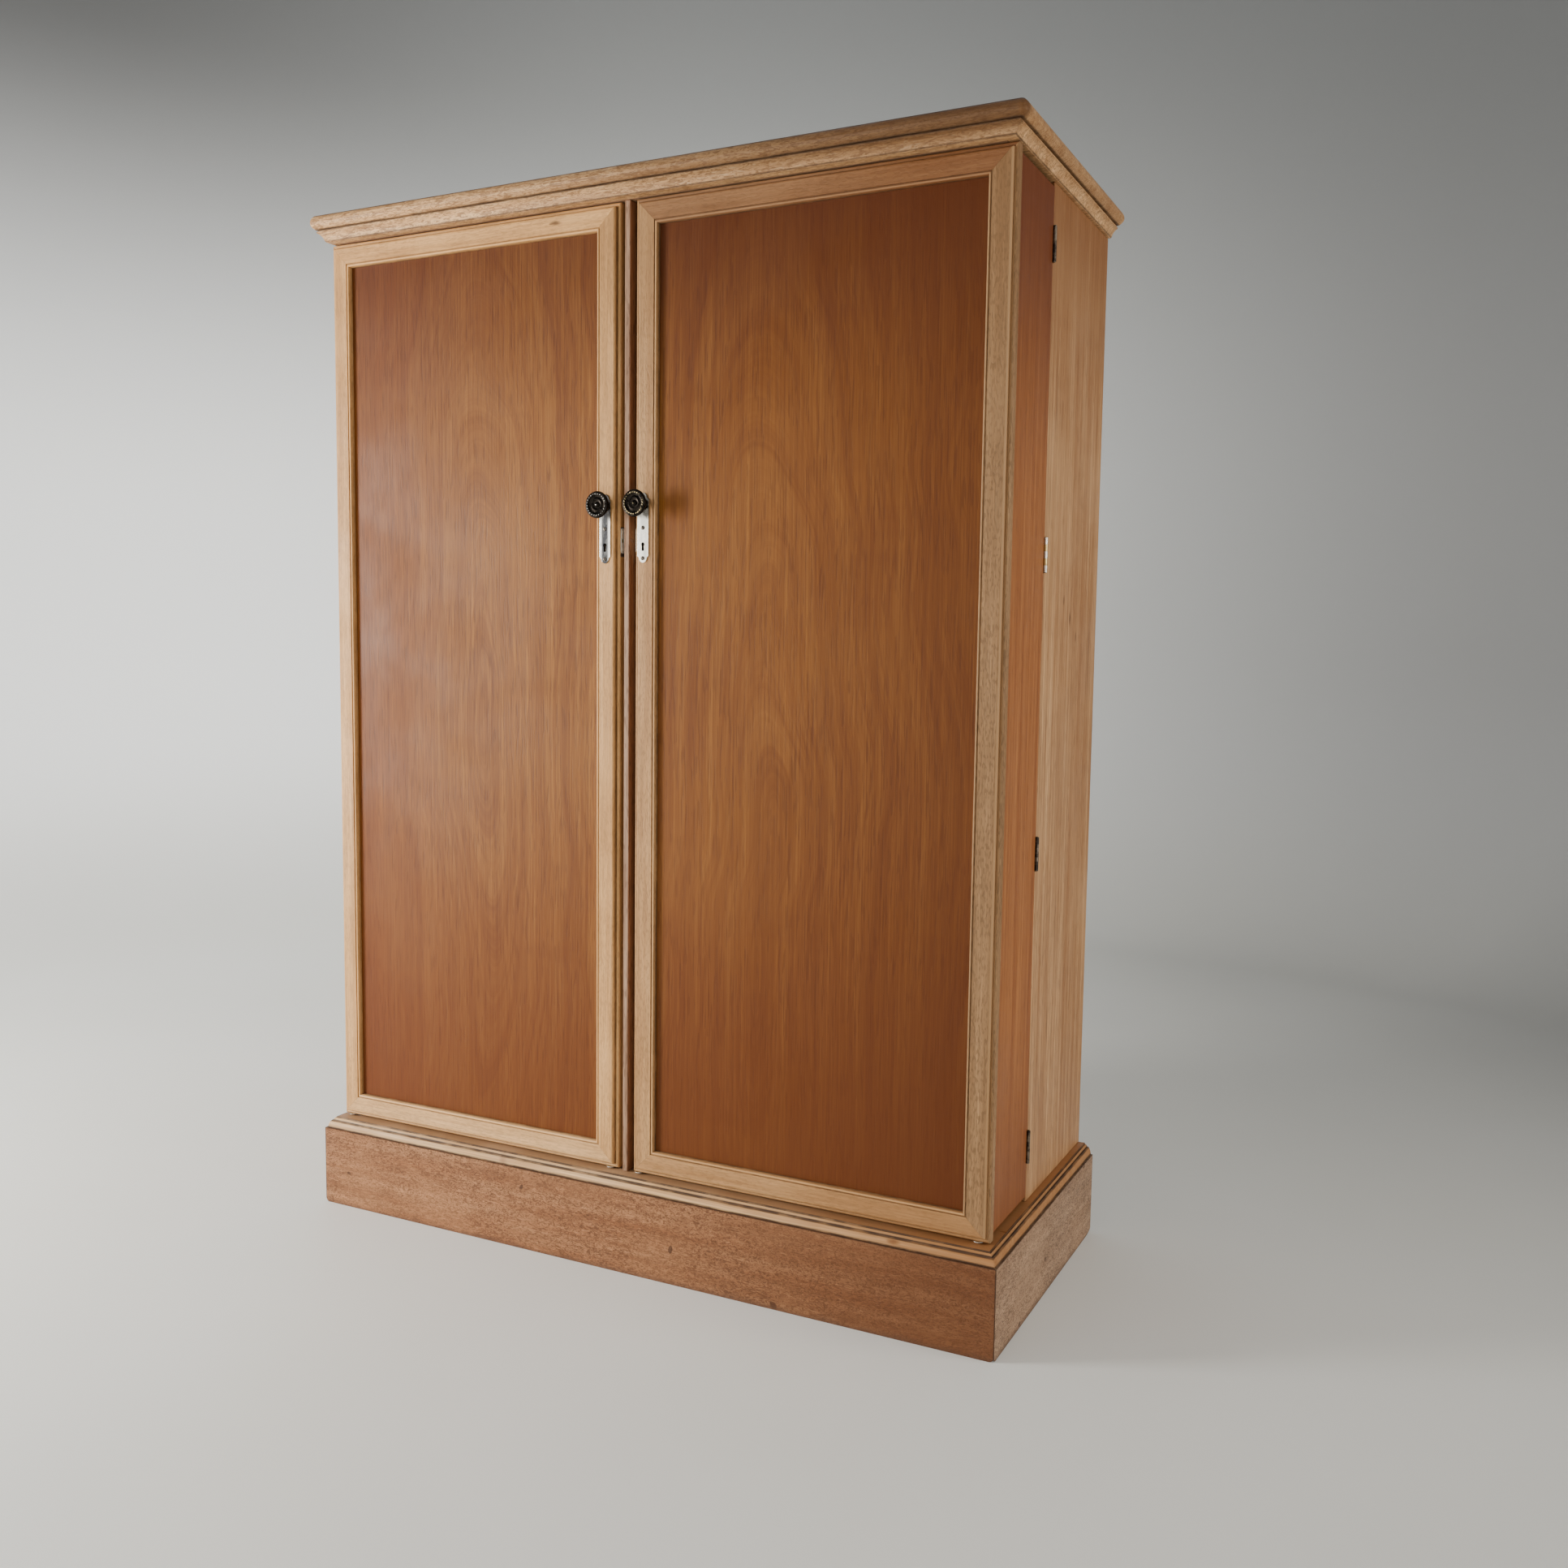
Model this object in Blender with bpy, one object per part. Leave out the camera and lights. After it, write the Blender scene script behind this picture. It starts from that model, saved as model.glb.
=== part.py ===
"""A two-door compactum wardrobe: deep box doors on butt hinges, a moulded base and a bullnosed cornice."""

import math

import bmesh
import bpy
from mathutils import Vector

# Driving dimensions in metres. X is the width, the front faces -Y, and Z = 0 is the floor.
GAP = 0.0003  # left between two pieces that touch
DEPTH = 0.565
FRONT = -DEPTH / 2
BACK = DEPTH / 2
EASE = 0.0012  # chamfer on a board's edges
OVERCUT = 0.002  # how far a cutter reaches past the surface that it cuts

PLINTH_HALF = 0.6615
PLINTH_FACE = FRONT + 0.007
PLINTH_HEIGHT = 0.1437
PLINTH_THICK = 0.022
PLINTH_ROUND = (0.008, 0.008)  # rounding of its lower corners, along and up
PLINTH_BACK = (BACK - 0.045, BACK - 0.025)
PLINTH_BACK_BOTTOM = 0.020
LEDGE_TOP = 0.163
BASE_STRIP = 0.045  # width of the base moulding, measured from the plinth's face

SIDE_FACE = 0.635  # outside of the carcase and of the door boxes
SIDE_THICK = 0.020
JOINT_PLANE = PLINTH_FACE + 0.2285  # where a closed door box meets the carcase
JOINT_HALF = 0.0006
CARCASE_TOP = 1.770
PARTITION = (-0.0160, -0.0055)
PARTITION_FRONT = PLINTH_FACE + 0.033
BACK_THICK = 0.006
BACK_INSET = 0.0035

SLAB_BOTTOM = 1.790
SLAB_CORNER = 0.003  # radius of the front corners at the slab's lower edge
SLAB_HALF = 0.653
SLAB_FACE = PLINTH_FACE + 0.002
CORNICE_STRIP = 0.030  # depth of the cornice moulding, from the slab's lower edge

DOOR_FACE = PLINTH_FACE + 0.026
DOOR_BOTTOM = 0.167
DOOR_TOP = 1.768
DOOR_OUTER = 0.640
LOCK_EDGE = {"left": -0.0235, "right": 0.0068}
SIGN = {"left": -1, "right": 1}
FRAME_THICK = 0.022
FRAME_WIDTH = 0.043
REBATE = 0.035  # distance from the frame's outer edge to its panel rebate
PANEL_DEPTH = 0.009
PANEL_THICK = 0.0055
BOX_BOARD = 0.018
BOX_INSET = 0.005  # of the door box's top, bottom and lock board behind the frame's edge

PLATE_X = {"left": -0.0478, "right": 0.0259}
PLATE_Z = 1.2478
PLATE_HALF = (0.0105, 0.0470)
PLATE_TAB = (0.0076, 0.0092)
PLATE_NOTCH = 0.0014
PLATE_THICK = 0.0015
KEYHOLE_Z = 1.2175
KEYWAY = 0.002  # half the width of the key's way through the stile
KNOB_Z = 1.2850
KNOB_RADIUS = 0.0219
KNOB_REACH = {"left": 0.0, "right": 0.0035}  # more neck on one knob than on the other
SPINDLE_RADIUS = 0.0035
LOCK_DEPTH = 0.0335  # of the lock case, from the door's edge
LOCK_Z = (1.2030, 1.2510)
LOCK_Y = (0.009, 0.020)  # behind the door's face
BOLT_SIZE = 0.005
BOLT_LENGTH = 0.030
DEADBOLT_Z = 1.2290
LATCH_Z = KNOB_Z + 0.008  # the latch bolt runs just above the knob's spindle

HINGE_HEIGHTS = (1.6775, 1.2060, 0.7350, 0.2560)
HINGE_HALF = 0.027
HINGE_AXIS = SIDE_FACE + 0.0020
KNUCKLES = 5
KNUCKLE_RADIUS = 0.0032
KNUCKLE_GAP = 0.00025
PIN_RADIUS = 0.0015
PIN_CLEARANCE = 0.0001
LEAF_WIDTH = 0.017
LEAF_THICK = 0.0012

SHELF_HEIGHTS = {"lower": 0.640, "upper": 1.180}
SHELF_THICK = 0.016
ROD_Z = 1.655
ROD_RADIUS = 0.0125
ROD_BACK = 0.045  # behind the carcase's front edge
SHELF_BACK = 0.012  # behind the carcase's front edge

# Colour, roughness and metallic value of each finish.
FRAME_WOOD = ((0.56, 0.38, 0.22), 0.45, 0.0)
PANEL_WOOD = ((0.33, 0.13, 0.055), 0.40, 0.0)
SIDE_WOOD = ((0.50, 0.31, 0.16), 0.45, 0.0)
PLINTH_WOOD = ((0.40, 0.21, 0.12), 0.55, 0.0)
MOULDING_WOOD = ((0.64, 0.45, 0.26), 0.50, 0.0)
INNER_WOOD = ((0.42, 0.24, 0.12), 0.60, 0.0)
WORN_NICKEL = ((0.72, 0.70, 0.64), 0.35, 1.0)
DARK_BRONZE = ((0.055, 0.045, 0.038), 0.35, 1.0)
AGED_BRASS = ((0.42, 0.31, 0.15), 0.45, 1.0)
LOCK_STEEL = ((0.35, 0.34, 0.32), 0.50, 1.0)


def clear_scene():
    for obj in list(bpy.data.objects):
        bpy.data.objects.remove(obj)


def material(name, finish):
    colour, roughness, metallic = finish
    made = bpy.data.materials.new(name)
    made.use_nodes = True
    shader = made.node_tree.nodes["Principled BSDF"]
    shader.inputs["Base Color"].default_value = (*colour, 1)
    shader.inputs["Roughness"].default_value = roughness
    shader.inputs["Metallic"].default_value = metallic
    return made


def add(name, points, faces, finish=None, origin=(0, 0, 0), parent=None):
    """An object made from world points, with its own origin, and riding on a parent empty."""
    origin = Vector(origin)
    mesh = bpy.data.meshes.new(name)
    mesh.from_pydata([Vector(point) - origin for point in points], [], faces)
    shape = bmesh.new()
    shape.from_mesh(mesh)
    bmesh.ops.recalc_face_normals(shape, faces=shape.faces)
    shape.to_mesh(mesh)
    shape.free()
    return add_mesh(name, mesh, finish, origin, parent)


def add_mesh(name, mesh, finish, origin, parent=None):
    obj = bpy.data.objects.new(name, mesh)
    bpy.context.scene.collection.objects.link(obj)
    obj.location = Vector(origin)
    if finish:
        obj.data.materials.append(material(name, finish))
    if parent:
        obj.parent = parent
        obj.location = Vector(origin) - parent.location
    return obj


def pivot(name, place):
    empty = bpy.data.objects.new(name, None)
    bpy.context.scene.collection.objects.link(empty)
    empty.location = place
    return empty


def loft(rings):
    """Points and faces of a closed solid whose skin runs through the rings, with a cap at each end."""
    count = len(rings[0])
    points = [point for ring in rings for point in ring]
    faces = [tuple(range(count)), tuple(range(len(points) - count, len(points)))]
    for start in range(0, len(points) - count, count):
        for i in range(count):
            a, b = start + i, start + (i + 1) % count
            faces.append((a, b, b + count, a + count))
    return points, faces


def box_points(low, high):
    corners = [(0, 0), (1, 0), (1, 1), (0, 1)]
    ends = (low, high)
    return loft([[(ends[i][0], ends[j][1], end[2]) for i, j in corners] for end in ends])


def board(name, low, high, finish, parent=None, ease=EASE):
    """A straight board between two corners, its edges eased with a small chamfer."""
    low, high = Vector(low), Vector(high)
    corners = [Vector(map(pick, low, high)) for pick in (min, max)]
    obj = add(name, *box_points(*corners), finish, (low + high) / 2, parent)
    if ease:
        bevel = obj.modifiers.new("ease", "BEVEL")
        bevel.width = ease
        bevel.segments = 1
        bevel.limit_method = "ANGLE"
    return obj


def tool(obj):
    """Marks an object as a cutting or joining helper, which isn't part of the wardrobe."""
    obj.hide_render = True
    obj.display_type = "WIRE"
    return obj


def combine(obj, helper, operation="DIFFERENCE"):
    modifier = obj.modifiers.new(operation.lower(), "BOOLEAN")
    modifier.object = tool(helper)
    modifier.operation = operation
    modifier.solver = "EXACT"


def cut_box(obj, low, high):
    low, high = Vector(low), Vector(high)
    corners = [Vector(map(pick, low, high)) for pick in (min, max)]
    combine(obj, add("cutter_" + obj.name, *box_points(*corners)))


def circle(radius, count, turn=0.0):
    angles = [turn + 2 * math.pi * i / count for i in range(count)]
    return [(radius * math.cos(angle), radius * math.sin(angle)) for angle in angles]


def cylinder_y(x, z, radius, y_low, y_high, count=20):
    return loft([[(x + a, y, z + b) for a, b in circle(radius, count)] for y in (y_low, y_high)])


def arc(centre, radii, start, end, steps):
    """Points along an elliptical arc, its angles in degrees."""
    angles = [math.radians(start + (end - start) * i / steps) for i in range(steps + 1)]
    return [
        (centre[0] + radii[0] * math.cos(angle), centre[1] + radii[1] * math.sin(angle))
        for angle in angles
    ]


def mitred_strip(name, section, start, end, inward, back, finish, mitres=(1, 1), parent=None):
    """A strip of moulding. The section's points are (inward, back) from its outer edge."""
    start, end, inward, back = (Vector(v) for v in (start, end, inward, back))
    along = (end - start).normalized()
    rings = [
        [start + inward * u + back * d + along * u * mitres[0] for u, d in section],
        [end + inward * u + back * d - along * u * mitres[1] for u, d in section],
    ]
    return add(name, *loft(rings), finish, (start + end) / 2, parent)


def three_sided(name, section, half, face, finish):
    """A moulding along the front and both sides, from back to back. Points are (inset, height)."""
    path = [(-half, BACK, 1, 0), (-half, face, 1, 1), (half, face, -1, 1), (half, BACK, -1, 0)]
    rings = [[(x + sx * u, y + sy * u, z) for u, z in section] for x, y, sx, sy in path]
    return add(name, *loft(rings), finish)


# ---- Base ----


def plinth_outline(length, rear_round):
    """A board's outline seen from its face, as (distance along, height), with rounded lower corners."""
    outline = arc(PLINTH_ROUND, PLINTH_ROUND, 180, 270, 4)
    outline += arc((length - rear_round[0], rear_round[1]), rear_round, 270, 360, 4)
    return outline + [(length, PLINTH_HEIGHT), (0, PLINTH_HEIGHT)]


def plinth_board(name, corner, along, inward, length, mitres, rear_round=PLINTH_ROUND):
    """One plinth board, mitred at the ends that meet another, its thickness running inward."""
    corner, along, inward = Vector(corner), Vector(along), Vector(inward)
    up = Vector((0, 0, 1))
    outline = plinth_outline(length, rear_round)
    rings = []
    for depth in (0.0, PLINTH_THICK):
        inset = [mitres[0] * depth + GAP, mitres[1] * depth + GAP]
        ring = []
        for s, z in outline:
            share = s / length
            shifted = s + inset[0] * (1 - share) - inset[1] * share
            ring.append(corner + along * shifted + inward * depth + up * z)
        rings.append(ring)
    return add(name, *loft(rings), PLINTH_WOOD)


def build_plinth():
    corner = (-PLINTH_HALF, PLINTH_FACE, 0)
    plinth_board("plinth_front", corner, (1, 0, 0), (0, 1, 0), 2 * PLINTH_HALF, (1, 1))
    length = BACK - PLINTH_FACE
    worn_round = (0.040, 0.006)
    for side, sign in SIGN.items():
        corner = (sign * PLINTH_HALF, PLINTH_FACE, 0)
        plinth_board(f"plinth_{side}", corner, (0, 1, 0), (-sign, 0, 0), length, (1, 0), worn_round)
    inner = PLINTH_HALF - PLINTH_THICK - GAP
    low = (-inner, PLINTH_BACK[0], PLINTH_BACK_BOTTOM)
    board("plinth_back", low, (inner, PLINTH_BACK[1], PLINTH_HEIGHT), PLINTH_WOOD)


def base_section():
    """The base moulding from its lower outer corner: a sloping face, two grooves and the ledge."""
    bottom = PLINTH_HEIGHT + GAP
    slope = [(0.0035, bottom), (0.0046, 0.1495), (0.0066, 0.1545), (0.0092, 0.1572)]
    grooves = [(0.0104, 0.1560), (0.0114, 0.1588), (0.0134, 0.1610), (0.0146, 0.1598)]
    return slope + grooves + [(0.0152, LEDGE_TOP), (BASE_STRIP, LEDGE_TOP), (BASE_STRIP, bottom)]


def build_base():
    build_plinth()
    three_sided("base_moulding", base_section(), PLINTH_HALF, PLINTH_FACE, MOULDING_WOOD)
    inner = PLINTH_HALF - BASE_STRIP - GAP
    low = (-inner, PLINTH_FACE + BASE_STRIP + GAP, PLINTH_HEIGHT + GAP)
    board("base_board", low, (inner, BACK, LEDGE_TOP), INNER_WOOD)


# ---- Carcase and cornice ----


def cut_hinge_recess(obj, side, towards):
    """Cuts the four hinge recesses in a board's edge. towards is +1 on the carcase and -1 on the door."""
    sign = SIGN[side]
    for height in HINGE_HEIGHTS:
        low, high = height - HINGE_HALF - GAP, height + HINGE_HALF + GAP
        leaf_end = sign * (HINGE_AXIS - LEAF_WIDTH - GAP)
        cut_box(
            obj,
            (leaf_end, JOINT_PLANE - towards * OVERCUT, low),
            (sign * (SIDE_FACE + OVERCUT), JOINT_PLANE + towards * (LEAF_THICK + 2 * GAP), high),
        )
        knuckle_in = sign * (HINGE_AXIS - KNUCKLE_RADIUS - 2 * GAP)
        knuckle_out = sign * (SIDE_FACE + 2 * OVERCUT)
        knuckle_back = JOINT_PLANE + towards * (KNUCKLE_RADIUS + 2 * GAP)
        cut_box(
            obj,
            (knuckle_in, JOINT_PLANE - towards * 2 * OVERCUT, low - GAP),
            (knuckle_out, knuckle_back, high + GAP),
        )


def build_carcase():
    front, rear = JOINT_PLANE + JOINT_HALF, BACK
    bottom = LEDGE_TOP + GAP
    inner = SIDE_FACE - SIDE_THICK
    for side, sign in SIGN.items():
        low = (sign * inner, front, bottom)
        piece = board(f"carcase_{side}_side", low, (sign * SIDE_FACE, rear, CARCASE_TOP), SIDE_WOOD)
        cut_hinge_recess(piece, side, 1)
    rear_inner = BACK - BACK_INSET - BACK_THICK
    low = (-inner + GAP, rear_inner, bottom)
    board("carcase_back", low, (inner - GAP, rear_inner + BACK_THICK, CARCASE_TOP), INNER_WOOD, ease=0)
    low = (PARTITION[0], PARTITION_FRONT, bottom)
    partition = board("centre_partition", low, (PARTITION[1], rear_inner - GAP, CARCASE_TOP), PANEL_WOOD)
    for height in (LATCH_Z, DEADBOLT_Z):
        middle = DOOR_FACE + sum(LOCK_Y) / 2
        half = BOLT_SIZE / 2 + 2 * GAP
        cut_box(
            partition,
            (PARTITION[0] - OVERCUT, middle - half, height - half),
            (PARTITION[1] + OVERCUT, middle + half, height + half),
        )
    top_half = SLAB_HALF - CORNICE_STRIP - GAP
    low = (-top_half, SLAB_FACE + CORNICE_STRIP + GAP, CARCASE_TOP + GAP)
    board("carcase_top", low, (top_half, BACK, SLAB_BOTTOM - GAP), INNER_WOOD)


def cornice_section():
    """The cornice moulding, from its lower inner corner up: a cove under a fillet and a quirk."""
    low, high = CARCASE_TOP + GAP, SLAB_BOTTOM - GAP
    cove = [(0.0142, low), (0.0124, 1.7716), (0.0114, 1.7748), (0.0100, 1.7779), (0.0074, 1.7812)]
    fillet = [(0.0046, 1.7836), (0.0024, 1.7848), (0.0024, 1.7873), (0.0048, 1.7873), (0.0048, high)]
    return [(CORNICE_STRIP, low)] + cove + fillet + [(CORNICE_STRIP, high)]


def slab_ring(outset, height):
    """The slab's outline at one height, its front corners rounded and its rear edge straight."""
    radius = SLAB_CORNER + max(outset, 0)
    x, y = SLAB_HALF + outset - radius, SLAB_FACE - outset + radius
    right = arc((x, y), (radius, radius), -90, 0, 5)
    left = arc((-x, y), (radius, radius), 180, 270, 5)
    ring = left + right + [(SLAB_HALF + outset, BACK), (-SLAB_HALF - outset, BACK)]
    return [(a, b, height) for a, b in ring]


def build_cornice():
    three_sided("cornice_moulding", cornice_section(), SLAB_HALF, SLAB_FACE, FRAME_WOOD)
    nose = [(0.0, 0.0), (0.0045, 0.0030), (0.0075, 0.0060), (0.0090, 0.0100), (0.0086, 0.0145)]
    nose += [(0.0065, 0.0190), (0.0025, 0.0228), (-0.0040, 0.0250)]
    rings = [slab_ring(outset, SLAB_BOTTOM + rise) for outset, rise in nose]
    add("cornice_slab", *loft(rings), FRAME_WOOD)


def build_interior():
    inner = SIDE_FACE - SIDE_THICK
    front = JOINT_PLANE + SHELF_BACK
    rear = BACK - BACK_INSET - BACK_THICK - GAP
    for level, height in SHELF_HEIGHTS.items():
        low = (-inner + GAP, front, height - SHELF_THICK)
        board(f"left_shelf_{level}", low, (PARTITION[0] - GAP, rear, height), INNER_WOOD)
    y = JOINT_PLANE + ROD_BACK
    ends = (PARTITION[1] + GAP, inner - GAP)
    rings = [[(x, y + a, ROD_Z + b) for a, b in circle(ROD_RADIUS, 24)] for x in ends]
    rod = add("hanging_rod", *loft(rings), LOCK_STEEL, (sum(ends) / 2, y, ROD_Z))
    smooth(rod)


# ---- Doors ----


def smooth(obj, angle=40):
    obj.data.shade_smooth()
    obj.data.set_sharp_from_angle(angle=math.radians(angle))


def frame_section():
    """A door frame member: outer bead, quirk, flat face, inner bead, step to the panel and its rebate."""
    outer = [(0.0, 0.0095), (0.0006, 0.0078), (0.0020, 0.0066), (0.0036, 0.0064), (0.0050, 0.0072)]
    riser = [(0.0058, 0.0084), (0.0066, 0.0084), (0.0070, 0.0036), (0.0078, 0.0016), (0.0090, 0.0004)]
    flat = [(0.0104, 0.0), (0.0364, 0.0), (0.0368, 0.0018), (0.0380, 0.0018)]
    bead = [(0.0384, 0.0008), (0.0394, 0.0003), (0.0406, 0.0004), (0.0416, 0.0012)]
    step = [(0.0421, 0.0034), (0.0426, 0.0060), (FRAME_WIDTH, PANEL_DEPTH - GAP)]
    rebate = [(REBATE, PANEL_DEPTH - GAP), (REBATE, FRAME_THICK), (0.0, FRAME_THICK)]
    return outer + riser + flat + bead + step + rebate


def build_frame(side, parent):
    sign = SIGN[side]
    outer, lock = sign * DOOR_OUTER, LOCK_EDGE[side]
    back = (0, 1, 0)
    cut = GAP / 2
    stiles = {"hinge": (outer, -sign), "lock": (lock, sign)}
    for kind, (x, inward) in stiles.items():
        stile = mitred_strip(
            f"{side}_door_{kind}_stile",
            frame_section(),
            (x, DOOR_FACE, DOOR_BOTTOM + cut),
            (x, DOOR_FACE, DOOR_TOP - cut),
            (inward, 0, 0),
            back,
            FRAME_WOOD,
            parent=parent,
        )
        if kind == "lock":
            cut_lock_mortises(stile, side)
    low_x, high_x = sorted((outer, lock))
    for kind, z, inward in (("bottom", DOOR_BOTTOM, 1), ("top", DOOR_TOP, -1)):
        mitred_strip(
            f"{side}_door_{kind}_rail",
            frame_section(),
            (low_x + cut, DOOR_FACE, z),
            (high_x - cut, DOOR_FACE, z),
            (0, 0, inward),
            back,
            FRAME_WOOD,
            parent=parent,
        )


def build_panel(side, parent):
    low_x, high_x = sorted((SIGN[side] * DOOR_OUTER, LOCK_EDGE[side]))
    edge = REBATE + 2 * GAP
    low = (low_x + edge, DOOR_FACE + PANEL_DEPTH, DOOR_BOTTOM + edge)
    high = (high_x - edge, DOOR_FACE + PANEL_DEPTH + PANEL_THICK, DOOR_TOP - edge)
    board(f"{side}_door_panel", low, high, PANEL_WOOD, parent, ease=0)


def build_box(side, parent):
    """The four boards behind the frame, which make the door a shallow cupboard open at its back."""
    sign = SIGN[side]
    front, rear = DOOR_FACE + FRAME_THICK + GAP, JOINT_PLANE - JOINT_HALF
    bottom, top = DOOR_BOTTOM + BOX_INSET, DOOR_TOP - BOX_INSET
    hinge_inner = sign * (SIDE_FACE - SIDE_THICK)
    low = (hinge_inner, front, bottom)
    piece = board(f"{side}_door_hinge_board", low, (sign * SIDE_FACE, rear, top), PANEL_WOOD, parent)
    cut_hinge_recess(piece, side, -1)
    lock_outer = LOCK_EDGE[side] + sign * BOX_INSET
    lock_inner = lock_outer + sign * BOX_BOARD
    low, high = (lock_outer, front, bottom), (lock_inner, rear, top)
    board(f"{side}_door_lock_board", low, high, PANEL_WOOD, parent)
    ends = (hinge_inner - sign * GAP, lock_inner + sign * GAP)
    for kind, low_z, high_z in (("bottom", bottom, bottom + BOX_BOARD), ("top", top - BOX_BOARD, top)):
        low, high = (ends[0], front, low_z), (ends[1], rear, high_z)
        board(f"{side}_door_{kind}_board", low, high, INNER_WOOD, parent)


# ---- Knobs and locks ----


def cut_lock_mortises(stile, side):
    """The pockets for the lock case, the latch bolt and the knob's spindle, and the key's way in."""
    sign, edge = SIGN[side], LOCK_EDGE[side]
    y_low, y_high = DOOR_FACE + LOCK_Y[0] - GAP, DOOR_FACE + LOCK_Y[1] + GAP
    outside = edge - sign * OVERCUT
    case_end = edge + sign * (LOCK_DEPTH + GAP)
    cut_box(stile, (outside, y_low, LOCK_Z[0] - GAP), (case_end, y_high, LOCK_Z[1] + GAP))
    middle = (y_low + y_high) / 2
    half = BOLT_SIZE / 2 + GAP
    channel_end = edge + sign * (BOLT_LENGTH + 2 * GAP)
    cut_box(stile, (outside, middle - half, LATCH_Z - half), (channel_end, middle + half, LATCH_Z + half))
    x, hole = PLATE_X[side], SPINDLE_RADIUS + 2 * GAP
    depths = (DOOR_FACE - OVERCUT, DOOR_FACE + FRAME_THICK + OVERCUT)
    combine(stile, add("cutter_spindle", *cylinder_y(x, KNOB_Z, hole, *depths)))
    key_low = (x - KEYWAY, DOOR_FACE - OVERCUT, KEYHOLE_Z - 0.005)
    cut_box(stile, key_low, (x + KEYWAY, y_low + OVERCUT / 2, KEYHOLE_Z + 0.006))


def plate_outline():
    """The backplate's outline about its middle: straight sides, and a round tab past each shoulder."""
    half_x, half_z = PLATE_HALF
    shoulder = half_z - PLATE_NOTCH
    lower = arc((0, -half_z), PLATE_TAB, 180, 360, 12)
    upper = arc((0, half_z), PLATE_TAB, 0, 180, 12)
    rise = [(half_x - PLATE_NOTCH, -half_z), (half_x, -shoulder)]
    right = rise + [(a, -b) for a, b in reversed(rise)]
    left = [(-a, -b) for a, b in right]
    return lower + right + upper + left


def keyhole_outline():
    """A round head over a slot that widens to its foot, as (across, height) about the keyhole's middle."""
    head = arc((0, 0.0035), (0.0026, 0.0026), -50, 230, 14)
    return head + [(-0.0019, -0.0062), (0.0019, -0.0062)]


def build_backplate(side, parent):
    x, front = PLATE_X[side], DOOR_FACE - PLATE_THICK - GAP
    rings = [[(x + a, y, PLATE_Z + b) for a, b in plate_outline()] for y in (front, front + PLATE_THICK)]
    plate = add(f"{side}_backplate", *loft(rings), WORN_NICKEL, (x, front, PLATE_Z), parent)
    depths = (front - OVERCUT, front + PLATE_THICK + OVERCUT)
    rings = [[(x + a, y, KEYHOLE_Z + b) for a, b in keyhole_outline()] for y in depths]
    combine(plate, add("cutter_keyhole", *loft(rings)))
    hole = SPINDLE_RADIUS + GAP
    combine(plate, add("cutter_rose", *cylinder_y(x, KNOB_Z, hole, *depths)))


def knob_profile(reach):
    """The turned knob as (radius, distance in front of the backplate), from its spindle's inner end."""
    behind = -(PLATE_THICK + LOCK_Y[1])
    rim = KNOB_RADIUS
    stem = [(SPINDLE_RADIUS, behind), (SPINDLE_RADIUS, GAP), (0.0085, GAP), (0.0082, 0.0022)]
    neck = [(0.0060, 0.0040), (0.0055, 0.0100 + reach)]
    flare = [(0.0080, 0.0130), (0.0150, 0.0155), (rim - 0.0012, 0.0185)]
    edge = [(rim, 0.0210), (rim - 0.0003, 0.0238), (rim - 0.0018, 0.0262), (rim - 0.0040, 0.0266)]
    dish = [(rim - 0.0058, 0.0250), (0.0078, 0.0252), (0.0070, 0.0262), (0.0058, 0.0262)]
    boss = [(0.0050, 0.0254), (0.0030, 0.0256), (0.0022, 0.0268), (0.0008, 0.0272)]
    return stem + neck + [(radius, out + reach) for radius, out in flare + edge + dish + boss]


def build_knob(side, parent):
    x, plane = PLATE_X[side], DOOR_FACE - PLATE_THICK - GAP
    profile = knob_profile(KNOB_REACH[side])
    rings = [[(x + a, plane - out, KNOB_Z + b) for a, b in circle(radius, 28)] for radius, out in profile]
    knob = add(f"{side}_knob", *loft(rings), DARK_BRONZE, (x, plane, KNOB_Z), parent)
    smooth(knob)


def build_lock(side, parent):
    """The mortised lock case, its deadbolt in a channel, and the knob's latch bolt above it."""
    sign, edge = SIGN[side], LOCK_EDGE[side]
    y_low, y_high = DOOR_FACE + LOCK_Y[0], DOOR_FACE + LOCK_Y[1]
    middle = (y_low + y_high) / 2
    low, high = (edge, y_low, LOCK_Z[0]), (edge + sign * LOCK_DEPTH, y_high, LOCK_Z[1])
    case = board(f"{side}_lock_case", low, high, LOCK_STEEL, parent, 0)
    half = BOLT_SIZE / 2 + GAP
    tail = edge + sign * (BOLT_LENGTH + 2 * GAP)
    mouth = (edge - sign * OVERCUT, middle - half, DEADBOLT_Z - half)
    cut_box(case, mouth, (tail, middle + half, DEADBOLT_Z + half))
    x, key_half = PLATE_X[side], KEYWAY - 0.0005
    key_low = (x - key_half, y_low - OVERCUT, KEYHOLE_Z - 0.004)
    cut_box(case, key_low, (x + key_half, y_low + 0.003, KEYHOLE_Z + 0.005))
    half = BOLT_SIZE / 2
    for kind, z in {"deadbolt": DEADBOLT_Z, "latch_bolt": LATCH_Z}.items():
        low = (edge + sign * GAP, middle - half, z - half)
        high = (edge + sign * BOLT_LENGTH, middle + half, z + half)
        board(f"{side}_{kind}", low, high, AGED_BRASS, parent, 0.0006)


# ---- Hinges ----


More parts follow.
